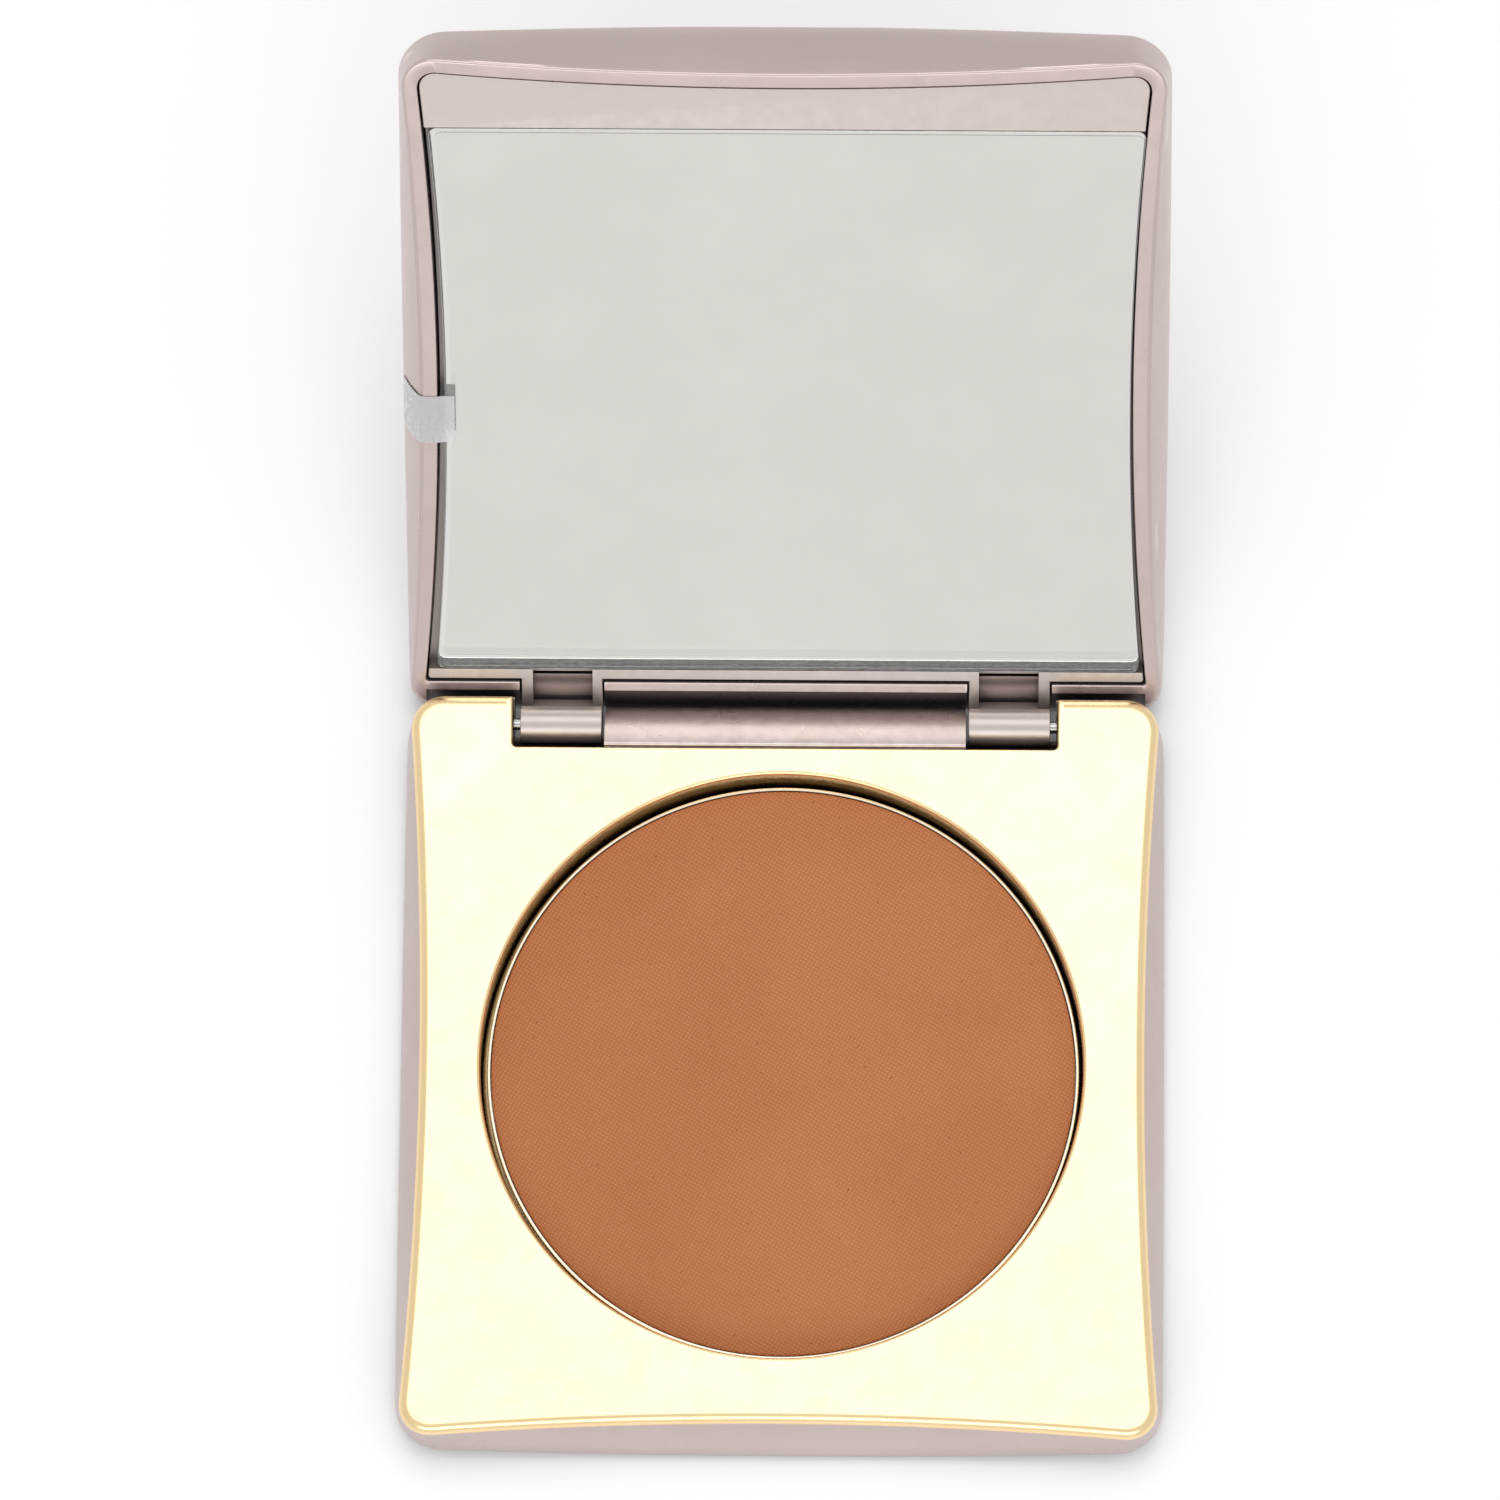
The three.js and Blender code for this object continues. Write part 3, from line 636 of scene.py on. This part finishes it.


# The last number given to ROSE, INSERT and GOLD sets how dark their painted shade in crevices gets; PAN has
# none.
ROSE = worn_metal(
    "rose_metal", (0.60, 0.50, 0.475), (0.78, 0.70, 0.66), (0.57, 0.47, 0.45), (0.26, 0.34), 0.85, 0.2)
INSERT = worn_metal(
    "insert_satin", (0.58, 0.515, 0.475), (0.70, 0.64, 0.60), (0.56, 0.49, 0.455), (0.34, 0.42), 0.7, 0.6)
GOLD = worn_metal(
    "gold_plate", (0.97, 0.75, 0.43), (0.99, 0.78, 0.47), (0.95, 0.72, 0.40), (0.22, 0.3), 1.0, 0.25)
PAN = worn_metal(
    "pan_metal", (0.85, 0.76, 0.62), (0.95, 0.9, 0.8), (0.8, 0.7, 0.56), (0.25, 0.35), 1.0)
POWDER = powder_material()
GLASS = glass_material()
GROUND_EDGE = ground_edge_material()
SILVER = silver_material()
FILM = film_material("protective_film", (0.05, 0.075), ((0.97, 0.965, 0.955), (0.985, 0.98, 0.97)), 1.0)
TAB = film_material("tab_film", (0.2, 0.3), ((0.93, 0.92, 0.92), (0.97, 0.965, 0.965)), 0.55)
STEEL = plain_material("pin_steel", (0.5, 0.5, 0.5), (0.62, 0.62, 0.62), (0.2, 0.35), 400.0, 1.0)
NICKEL = plain_material("magnet_nickel", (0.45, 0.46, 0.47), (0.55, 0.55, 0.56), (0.25, 0.4), 300.0, 1.0)
TAPE = plain_material("foam_tape", (0.75, 0.74, 0.71), (0.85, 0.84, 0.81), (0.8, 0.95), 600.0)
PAPER = plain_material("label_paper", (0.82, 0.81, 0.78), (0.88, 0.87, 0.85), (0.6, 0.75), 500.0)


# ---------- base ----------


def base_wall(flare):
    """Outer wall: flare 0 is the seam under the tray plate, 1 is the widest line."""
    return {
        "half_width": PLATE_HALF_WIDTH + FLARE * flare,
        "front": PLATE_FRONT - FLARE * flare,
        "rear": PLATE_REAR + REAR_FLARE * flare,
        "radius": PLATE_RADIUS + 0.9 * flare,
        "waist": mix(WAIST, BULGE, flare),
    }


def inset(spec, by):
    smaller = {
        **spec,
        "half_width": spec["half_width"] - by,
        "front": spec["front"] + by,
        "rear": spec["rear"] - by,
        "radius": max(0.8, spec["radius"] - by),
    }
    if "rear_radius" in spec:
        smaller["rear_radius"] = max(0.3, spec["rear_radius"] - by)
    return smaller


def base_shell_body():
    seam_height = BASE_HEIGHT - PLATE_THICKNESS - SEAM

    def level(z):
        return lambda x, y: z + corner_lift(x, y) * (1 - z / seam_height)

    rings = []
    foot = outline(inset(base_wall(1), EDGE_ROUND))
    rings += [raised(shrink(foot, f, 0), level(0)) for f in spread(14, 0.06, 1)]
    for a in spread(8, 0, math.pi / 2)[1:]:
        spec = inset(base_wall(1), EDGE_ROUND * (1 - math.sin(a)))
        rings.append(raised(outline(spec), level(EDGE_ROUND * (1 - math.cos(a)))))
    lip = SEAM_LIP
    for part in spread(20)[1:]:
        z = mix(EDGE_ROUND, seam_height - lip, part)
        rings.append(raised(outline(base_wall(1 - part**1.7)), level(z)))
    rings.append(raised(outline(inset(base_wall(0), lip * 0.3)), seam_height - lip * 0.3))
    rings.append(raised(outline(inset(base_wall(0), lip)), seam_height))
    cavity = {**inset(base_wall(0), 1.4), "rear": AXIS_Y - 4.35}
    cavity_outline = outline(cavity)
    middle = (cavity["front"] + cavity["rear"]) / 2
    rings.append(raised(cavity_outline, seam_height))

    def floor(x, y):
        return BASE_FLOOR + corner_lift(x, y)

    rings += [raised(shrink(cavity_outline, f, middle), floor) for f in (1, 0.8, 0.6, 0.4, 0.2)]
    b = Builder()
    made = b.stack(rings)
    b.fan(made[0], (0, 0, 0), False)
    b.fan(made[-1], (0, middle, BASE_FLOOR), True)
    return b.mesh("base_shell_body")


def arc_points(cy, cz, radius, start, end, steps):
    return [
        (cy + radius * math.cos(math.radians(a)), cz + radius * math.sin(math.radians(a)))
        for a in spread(steps, start, end)]


def above_ramp():
    """What is empty above the block between the knuckles: a small round lip, then a convex fall."""
    start = math.radians(RAMP_ANGLES[0])
    reach = RAMP_RADIUS - LIP_RADIUS
    lip_at = (RAMP_CENTRE[0] + reach * math.cos(start), RAMP_CENTRE[1] + reach * math.sin(start))
    profile = arc_points(*lip_at, LIP_RADIUS, 180, RAMP_ANGLES[0], 8)
    profile += arc_points(*RAMP_CENTRE, RAMP_RADIUS, *RAMP_ANGLES, 24)[1:]
    far = PLATE_REAR + 5
    above = BASE_HEIGHT + 5
    front = NOTCH_FRONT - 2
    profile += [(far, profile[-1][1]), (far, above), (front, above), (front, profile[0][1])]
    return across_mesh(profile, -BLOCK_HALF, BLOCK_HALF)


def hinge_cuts():
    far = PLATE_REAR + 5
    above = BASE_HEIGHT + 5
    cuts = [above_ramp()]
    for side in (-1, 1):
        x0, x1 = sorted((side * BLOCK_HALF, side * NOTCH_HALF))
        cuts.append(box_mesh((x0, x1), (NOTCH_FRONT, far), (AXIS_Z, above)))
        cuts.append(axis_rod(POCKET_RADIUS, x0, x1))
        cuts.append(box_mesh((x0, x1), (AXIS_Y + POCKET_OPEN_FROM, far), (-1, above)))
        p0, p1 = sorted((side * (NOTCH_HALF - 1), side * (PIN_TO + 0.2)))
        cuts.append(axis_rod(PIN_RADIUS + 0.06, p0, p1, 32))
    return cuts


def make_base_shell():
    block_y = (NOTCH_FRONT + NOTCH_CLEARANCE, AXIS_Y)
    steps = [("UNION", box_mesh((-BLOCK_HALF, BLOCK_HALF), block_y, (AXIS_Z - 1, BASE_HEIGHT)))]
    steps += [("DIFFERENCE", cut) for cut in hinge_cuts()]
    recess_radius = LABEL_RADIUS + 0.3
    recess = turned_mesh([(0, -1), (recess_radius, -1), (recess_radius, LABEL_RECESS), (0, LABEL_RECESS)])
    steps.append(("DIFFERENCE", recess))
    mesh = combined(base_shell_body(), steps)
    piece("base_shell", mesh, BASE_PLACE, "base", ROSE)


def tray_outline():
    """The plate's outline with the hinge notch cut into its rear edge."""
    ear = 0.9
    r = NOTCH_CORNER
    notch = rounded_path([
        ((NOTCH_HALF + ear, PLATE_REAR), 0),
        ((NOTCH_HALF, PLATE_REAR), r),
        ((NOTCH_HALF, NOTCH_FRONT), r),
        ((-NOTCH_HALF, NOTCH_FRONT), r),
        ((-NOTCH_HALF, PLATE_REAR), r),
        ((-NOTCH_HALF - ear, PLATE_REAR), 0),
    ])
    points = []
    placed = False
    for p in outline(base_wall(0)):
        if p.y > PLATE_REAR - 0.01 and abs(p.x) < NOTCH_HALF + ear + 0.3:
            if not placed:
                points += notch
                placed = True
        else:
            points.append(p)
    return points


def tray_edge_round(p, n):
    """Share of the plate's edge rounding: wide at the rear, small round the notch."""
    if abs(p.x) < NOTCH_HALF + 0.8 and p.y > NOTCH_FRONT - 1:
        return 0.3 if p.y < PLATE_REAR - 0.4 else mix(0.3, 1.33, max(0.0, n.y) ** 2)
    return PLATE_THICKNESS * (1 + 0.4 * max(0.0, n.y) ** 2)


def make_tray():
    bottom = BASE_HEIGHT - PLATE_THICKNESS
    points = tray_outline()
    b = Builder()
    rings = [raised(points, bottom)]
    for a in spread(10, 0, math.pi / 2)[1:]:
        pull = 1 - math.cos(a)
        moved = pulled_in(points, lambda p, n, k=pull: k * tray_edge_round(p, n))
        rings.append(raised(moved, bottom + PLATE_THICKNESS * math.sin(a)))
    made = b.stack(rings)
    hole = [(WELL_RADIUS + HOLE_FILLET * (1 - math.cos(a)), BASE_HEIGHT - HOLE_FILLET * (1 - math.sin(a)))
            for a in spread(8, math.pi / 2, 0)]
    well = hole + [
        (WELL_RADIUS, WELL_FLOOR + 0.5),
        (WELL_RADIUS - 0.15, WELL_FLOOR + 0.15),
        (WELL_RADIUS - 0.5, WELL_FLOOR)]
    inside = b.stack([raised(circle(r), z) for r, z in well])
    b.cap(inside[-1], True)
    outside = b.stack([
        raised(circle(WELL_RADIUS + WELL_WALL), bottom),
        raised(circle(WELL_RADIUS + WELL_WALL), WELL_BOTTOM + 0.2),
        raised(circle(WELL_RADIUS + WELL_WALL - 0.2), WELL_BOTTOM)])
    b.cap(outside[-1], False)
    b.fill_between(made[-1], inside[0])
    b.fill_between(made[0], outside[0])
    mesh = b.mesh("tray")
    boss_low = bottom - MAGNET_THICKNESS - 0.7
    steps = []
    for side in (-1, 1):
        at = (side * MAGNET_X, MAGNET_Y)
        steps.append(("UNION", prism_mesh(circle(MAGNET_RADIUS + 0.8, 48, at), boss_low, bottom + 0.2)))
    for side in (-1, 1):
        at = (side * MAGNET_X, MAGNET_Y)
        socket = circle(MAGNET_RADIUS + MAGNET_CLEARANCE, 48, at)
        steps.append(("DIFFERENCE", prism_mesh(socket, boss_low - 1, bottom)))
    piece("inner_tray", combined(mesh, steps), BASE_PLACE, "base", GOLD)


def make_powder():
    r = PAN_RADIUS
    pan = turned_mesh([
        (0, PAN_BOTTOM), (r - 0.4, PAN_BOTTOM), (r - 0.12, PAN_BOTTOM + 0.12), (r, PAN_BOTTOM + 0.4),
        (r, PAN_TOP - 0.12), (r - 0.05, PAN_TOP - 0.03), (r - 0.14, PAN_TOP), (r - PAN_SHEET + 0.12, PAN_TOP),
        (r - PAN_SHEET + 0.03, PAN_TOP - 0.03), (r - PAN_SHEET, PAN_TOP - 0.12),
        (r - PAN_SHEET, PAN_BOTTOM + PAN_SHEET), (0, PAN_BOTTOM + PAN_SHEET)], 256, PAN_SHIFT)
    piece("powder_pan", pan, BASE_PLACE, "base", PAN)
    cake_radius = PAN_RADIUS - PAN_SHEET - 0.06
    low = PAN_BOTTOM + PAN_SHEET + 0.05
    top = PAN_TOP + 0.06
    profile = [(0, low), (cake_radius, low), (cake_radius, top - 0.22)]
    profile += [(cake_radius - 0.25 * (1 - math.cos(a)), top - 0.22 * (1 - math.sin(a)))
                for a in spread(6, 0, math.pi / 2)[1:]]
    profile += [(cake_radius * f, top) for f in (0.98, 0.9, 0.75, 0.5, 0.25)]
    profile += [(0, top)]
    cake = turned_mesh(profile, 256, PAN_SHIFT)
    piece("pressed_powder", cake, BASE_PLACE, "base", POWDER)
    pad = prism_mesh(circle(24, 128), WELL_FLOOR + 0.02, PAN_BOTTOM - 0.02)
    piece("pan_adhesive_pad", pad, BASE_PLACE, "base", TAPE)


def make_base_trim():
    low = LABEL_RECESS - 0.02 - LABEL_THICKNESS
    label = prism_mesh(circle(LABEL_RADIUS), low, LABEL_RECESS - 0.02)
    piece("bottom_label", label, BASE_PLACE, "base", PAPER)
    top = BASE_HEIGHT - PLATE_THICKNESS - MAGNET_CLEARANCE
    for side in (-1, 1):
        hand = "left" if side < 0 else "right"
        at = (side * MAGNET_X, MAGNET_Y)
        magnet = bevelled(prism_mesh(circle(MAGNET_RADIUS, 64, at), top - MAGNET_THICKNESS, top), 0.12)
        piece("base_magnet_" + hand, magnet, BASE_PLACE, "base", NICKEL)
        x0, x1 = sorted((side * PIN_FROM, side * PIN_TO))
        pin = bevelled(axis_rod(PIN_RADIUS, x0, x1, 48), 0.12)
        piece("hinge_pin_" + hand, pin, BASE_PLACE, "base", STEEL)


# ---------- lid ----------


def lid_rear(height):
    """Rear line of the lid's outside at a height above the rim."""
    if height < LID_NOSE_HEIGHT:
        return mix(LID_RIM_REAR, LID_NOSE_REAR, height / LID_NOSE_HEIGHT)
    above = (height - LID_NOSE_HEIGHT) / (LID_HEIGHT - LID_NOSE_HEIGHT)
    return mix(LID_NOSE_REAR, LID_TOP_REAR, above)


def lid_wall(flare, height):
    return {**base_wall(flare), "rear": lid_rear(height), "rear_radius": LID_REAR_RADIUS + 2.5 * flare}


def lid_shell_body():
    def level(h):
        return lambda x, y: LID_RIM + h - corner_lift(x, y) * (h / LID_HEIGHT)

    middle = (PLATE_FRONT + LID_TOP_REAR) / 2
    crown = outline(inset(lid_wall(1, LID_HEIGHT), EDGE_ROUND))
    rings = [raised(shrink(crown, f, middle), level(LID_HEIGHT)) for f in spread(14, 0.06, 1)]
    for a in spread(8, 0, math.pi / 2)[1:]:
        h = LID_HEIGHT - EDGE_ROUND * (1 - math.cos(a))
        rings.append(raised(outline(inset(lid_wall(1, h), EDGE_ROUND * (1 - math.sin(a)))), level(h)))
    wall_top = LID_HEIGHT - EDGE_ROUND
    heights = spread(12, wall_top, LID_NOSE_HEIGHT)[1:] + spread(8, LID_NOSE_HEIGHT, RIM_ROUND)[1:]
    for h in heights:
        flare = 1 - ((wall_top - h) / wall_top) ** 1.7
        rings.append(raised(outline(lid_wall(flare, h)), level(h)))
    rim = lid_wall(0, 0)
    for a in spread(6, 0, math.pi / 2)[1:]:
        spec = inset(rim, RIM_ROUND * (1 - math.cos(a)))
        rings.append(raised(outline(spec), level(RIM_ROUND * (1 - math.sin(a)))))
    inner = {**inset(rim, RIM_WIDTH), "rear": LID_RIM_INNER_REAR, "rear_radius": INNER_REAR_RADIUS}
    for a in spread(3, math.pi / 2, 0):
        spec = inset(inner, -INNER_EDGE * (1 - math.cos(a)))
        rings.append(raised(outline(spec), LID_RIM + INNER_EDGE * (1 - math.sin(a))))
    inner_outline = outline(inner)
    inner_middle = (inner["front"] + inner["rear"]) / 2

    def ceiling(x, y):
        return LID_RIM + LID_HEIGHT - LID_FLOOR - corner_lift(x, y)

    rings += [raised(shrink(inner_outline, f, inner_middle), ceiling) for f in (1, 0.8, 0.6, 0.4, 0.2)]
    b = Builder()
    made = b.stack(rings)
    b.fan(made[0], (0, middle, LID_RIM + LID_HEIGHT), True)
    b.fan(made[-1], (0, inner_middle, LID_RIM + LID_HEIGHT - LID_FLOOR), False)
    return b.mesh("lid_shell_body")


def bar_cut():
    """What is empty behind the rim's rear bar, between the rim's two rear corners."""
    low = LID_RIM - 1
    nose = LID_RIM + LID_NOSE_HEIGHT
    far = AXIS_Y + 4
    profile = [(LID_BAR_REAR, low), (far, low), (far, nose), (LID_NOSE_REAR, nose)]
    profile += [(LID_BAR_REAR + 0.1, LID_RIM + 0.3), (LID_BAR_REAR, LID_RIM + 0.12)]
    return across_mesh(profile, -LID_BAR_HALF, LID_BAR_HALF)


def make_lid_shell():
    steps = [("DIFFERENCE", bar_cut())]
    for side in (-1, 1):
        x = sorted((side * (KNUCKLE_IN - 0.2), side * (KNUCKLE_OUT + 0.2)))
        slot = box_mesh(x, (LID_RIM_INNER_REAR - 0.2, AXIS_Y + 4), (LID_RIM - 1, LID_RIM + SLOT_DEPTH))
        steps.append(("DIFFERENCE", slot))
    piece("lid_shell", combined(lid_shell_body(), steps), LID_PLACE, "lid", ROSE)


def lug_profile():
    """Side view of a hinge lug: a flat arm that hooks over and down to its barrel."""
    face = LID_RIM + FRAME_FACE - AXIS_Z
    back = LID_RIM + LUG_BACK - AXIS_Z
    points = [(-ARM_LENGTH, face), (-ARM_LENGTH, back)]
    hook = arc_points(0, back - KNUCKLE_RADIUS, KNUCKLE_RADIUS, 90, 0, 12)
    barrel = arc_points(0, 0, KNUCKLE_RADIUS, 0, -270, 48)
    points += hook + barrel + [(0, face)]
    return [(AXIS_Y + y, AXIS_Z + z) for y, z in points]


def make_lid_frame():
    spec = inset(lid_wall(0, 0), RIM_WIDTH + FRAME_GAP)
    spec["rear"] = LID_RIM_INNER_REAR - FRAME_GAP
    spec["rear_radius"] = INNER_REAR_RADIUS
    points = outline(spec)
    b = Builder()
    rings = [raised(points, LID_RIM + FRAME_BACK), raised(points, LID_RIM + FRAME_FACE + INNER_EDGE)]
    for a in spread(3, 0, math.pi / 2)[1:]:
        edge = pulled_in(points, INNER_EDGE * (1 - math.cos(a)))
        rings.append(raised(edge, LID_RIM + FRAME_FACE + INNER_EDGE * (1 - math.sin(a))))
    made = b.stack(rings)
    b.cap(made[0], True)
    b.cap(made[-1], False)
    mesh = b.mesh("frame")
    steps = []
    pocket_y = (MIRROR_TOP - 0.1, MIRROR_BOTTOM + 0.1)
    pocket = box_mesh((-40, 40), pocket_y, (LID_RIM - 1, LID_RIM + POCKET_DEPTH))
    for side in (-1, 1):
        x0, x1 = sorted((side * KNUCKLE_IN, side * KNUCKLE_OUT))
        lug = across_mesh(lug_profile(), x0, x1)
        w = sorted((side * WINDOW_IN, side * WINDOW_OUT))
        window_z = (AXIS_Z + KNUCKLE_RADIUS + 0.1, LID_RIM + LUG_BACK + 0.4)
        window = box_mesh(w, (MIRROR_BOTTOM - 2, AXIS_Y - 0.5), window_z)
        steps.append(("UNION", bevelled(lug, 0.1, 2, 50)))
        steps.append(("DIFFERENCE", window))
        steps.append(("DIFFERENCE", axis_rod(PIN_RADIUS + 0.1, x0 - 1, x1 + 1, 48)))
        at = (side * MAGNET_X, MAGNET_Y)
        socket = prism_mesh(
            circle(MAGNET_RADIUS + MAGNET_CLEARANCE, 48, at),
            LID_RIM + FRAME_BACK - MAGNET_THICKNESS - 2 * MAGNET_CLEARANCE, LID_RIM + FRAME_BACK + 1)
        steps.append(("DIFFERENCE", socket))
    steps.append(("DIFFERENCE", pocket))
    piece("lid_inner_frame", combined(mesh, steps), LID_PLACE, "lid", INSERT)


MIRROR_SPEC = {
    "half_width": MIRROR_HALF_WIDTH,
    "front": MIRROR_TOP,
    "rear": MIRROR_BOTTOM,
    "radius": 0.9,
    "waist": MIRROR_WAIST,
    "end_waist": 0.0,
    "shift": MIRROR_SHIFT,
}


def make_mirror():
    face = LID_RIM + MIRROR_FACE
    back = face + MIRROR_THICKNESS
    points = outline(MIRROR_SPEC)
    b = Builder()
    made = b.stack([
        raised(pulled_in(points, BACK_ARRIS), back), raised(points, back - BACK_ARRIS),
        raised(points, face + FACE_ARRIS), raised(pulled_in(points, FACE_ARRIS), face)])
    b.cap(made[0], True)
    b.cap(made[-1], False)
    glass = piece("mirror_glass", b.mesh("mirror"), LID_PLACE, "lid", GLASS, 25)
    glass.data.materials.append(GROUND_EDGE)
    glass.data.materials.append(SILVER)
    facing = (LID_PLACE.to_3x3() @ Vector((0, 0, 1))).normalized()
    for polygon in glass.data.polygons:
        towards = polygon.normal.dot(facing)
        if towards > 0.9:
            polygon.material_index = 2
        elif towards > -0.5:
            polygon.material_index = 1

    tape = {**inset(MIRROR_SPEC, 4), "radius": 3}
    pad = prism_mesh(outline(tape), back + 0.05, back + 0.05 + TAPE_THICKNESS)
    piece("mirror_adhesive_pad", pad, LID_PLACE, "lid", TAPE)

    film_spec = {**inset(MIRROR_SPEC, 0.35), "shift": MIRROR_SHIFT + 0.2}
    film_back = face - FILM_LIFT
    film = prism_mesh(outline(film_spec), film_back - FILM_THICKNESS, film_back)
    piece("mirror_film", film, LID_PLACE, "lid", FILM)


def make_pull_tab():
    """Clear strip stuck to the film, over the lid's left rim and down the outside of the wall."""
    corners = [
        (TAB_START, 0.1), (-34.0, 0.1), (-34.5, -0.05), (-36.2, -0.05),
        (-36.72, 0.9), (-37.22, 2.0), (-37.65, 3.2), (-37.98, 4.4)]
    path = [Vector((x, LID_RIM + h)) for x, h in corners]
    fine = []
    for i in range(len(path) - 1):
        fine += [path[i].lerp(path[i + 1], k / 6) for k in range(6)]
    fine.append(path[-1])
    for _ in range(4):
        fine = [fine[0]] + [(a + b * 2 + c) / 4 for a, b, c in zip(fine, fine[1:], fine[2:])] + [fine[-1]]
    normals = []
    for i in range(len(fine)):
        along = (fine[min(len(fine) - 1, i + 1)] - fine[max(0, i - 1)]).normalized()
        normals.append(Vector((along.y, -along.x)))
    loop = fine + [p - n * TAB_THICKNESS for p, n in reversed(list(zip(fine, normals)))]
    b = Builder()
    edges = (TAB_Y - TAB_WIDTH / 2, TAB_Y + TAB_WIDTH / 2)
    rings = b.stack([[Vector((p.x, y, p.y)) for p in loop] for y in edges])
    b.cap(rings[0], False)
    b.cap(rings[1], True)
    piece("film_pull_tab", b.mesh("tab"), LID_PLACE, "lid", TAB)


def make_lid_magnets():
    back = LID_RIM + FRAME_BACK - MAGNET_CLEARANCE
    for side in (-1, 1):
        hand = "left" if side < 0 else "right"
        at = (side * MAGNET_X, MAGNET_Y)
        magnet = bevelled(prism_mesh(circle(MAGNET_RADIUS, 64, at), back - MAGNET_THICKNESS, back), 0.12)
        piece("lid_magnet_" + hand, magnet, LID_PLACE, "lid", NICKEL)


# ---------- stage ----------

FLOOR_REACH = 4000
FLOOR_DEPTH = 40
FLOOR_GAP = 0.02
CAMERA_DISTANCE = 1286.0
CAMERA_ELEVATION = math.radians(73.29)
CAMERA_YAW = math.radians(-2.877)
CAMERA_ROLL = math.radians(-2.401)
CAMERA_LENS = 307.87
CAMERA_SHIFT = (-0.02354, -0.03619)


def make_camera():
    e, yaw, roll = CAMERA_ELEVATION, CAMERA_YAW, CAMERA_ROLL
    target = to_packed @ Vector((0, PLATE_REAR, BASE_HEIGHT))
    forward = Vector((math.sin(yaw) * math.cos(e), math.cos(yaw) * math.cos(e), -math.sin(e)))
    right = Vector((math.cos(yaw), -math.sin(yaw), 0))
    up = right.cross(forward)
    turned_right = right * math.cos(roll) + up * math.sin(roll)
    turned_up = up * math.cos(roll) - right * math.sin(roll)
    data = bpy.data.cameras.new("camera")
    data.sensor_width = 36
    data.lens = CAMERA_LENS
    data.shift_x, data.shift_y = CAMERA_SHIFT
    data.clip_start = 0.05
    data.clip_end = 50
    camera = bpy.data.objects.new("camera", data)
    turn = Matrix((turned_right, turned_up, -forward)).transposed()
    camera.matrix_world = Matrix.Translation(target - forward * CAMERA_DISTANCE * MM) @ turn.to_4x4()
    bpy.context.scene.collection.objects.link(camera)
    bpy.context.scene.camera = camera


def area_light(name, at, size, power, colour=(1, 1, 1)):
    """A soft box aimed at the compact."""
    data = bpy.data.lights.new(name, "AREA")
    data.shape = "RECTANGLE"
    data.size, data.size_y = size
    data.energy = power
    data.color = colour
    light = bpy.data.objects.new(name, data)
    light.location = at
    aim = Vector((0, 0, 0.01)) - Vector(at)
    light.rotation_mode = "QUATERNION"
    light.rotation_quaternion = aim.to_track_quat("-Z", "Y")
    bpy.context.scene.collection.objects.link(light)


def make_stage():
    reach = (-FLOOR_REACH, FLOOR_REACH)
    floor = scratch(box_mesh(reach, reach, (-FLOOR_DEPTH, -FLOOR_GAP)))
    floor.name = "floor"
    floor.data.transform(Matrix.Scale(MM, 4))
    material, tree, shader = new_material("pale_floor")
    tone = ramp(tree, noise(tree, 3.0), [(0.3, (0.94, 0.94, 0.94)), (0.7, (0.96, 0.96, 0.96))])
    tree.links.new(tone, shader.inputs["Base Color"])
    shader.inputs["Roughness"].default_value = 0.3
    shader.inputs["Emission Color"].default_value = (1.0, 1.0, 1.0, 1)
    shader.inputs["Emission Strength"].default_value = 0.04
    floor.data.materials.append(material)
    world = bpy.data.worlds.new("studio")
    bpy.context.scene.world = world
    world.use_nodes = True
    background = world.node_tree.nodes["Background"]
    background.inputs["Color"].default_value = (1.0, 1.0, 1.0, 1)
    background.inputs["Strength"].default_value = 0.8
    area_light("top_box", (0.0, 0.35, 1.1), (0.62, 0.62), 1.75)
    area_light("front_box", (0.0, -1.05, 0.8), (1.2, 0.55), 3.6)
    view = bpy.context.scene.view_settings
    view.view_transform = "Standard"


make_base_shell()
make_tray()
make_powder()
make_base_trim()
make_lid_shell()
make_lid_frame()
make_mirror()
make_pull_tab()
make_lid_magnets()
make_stage()
make_camera()
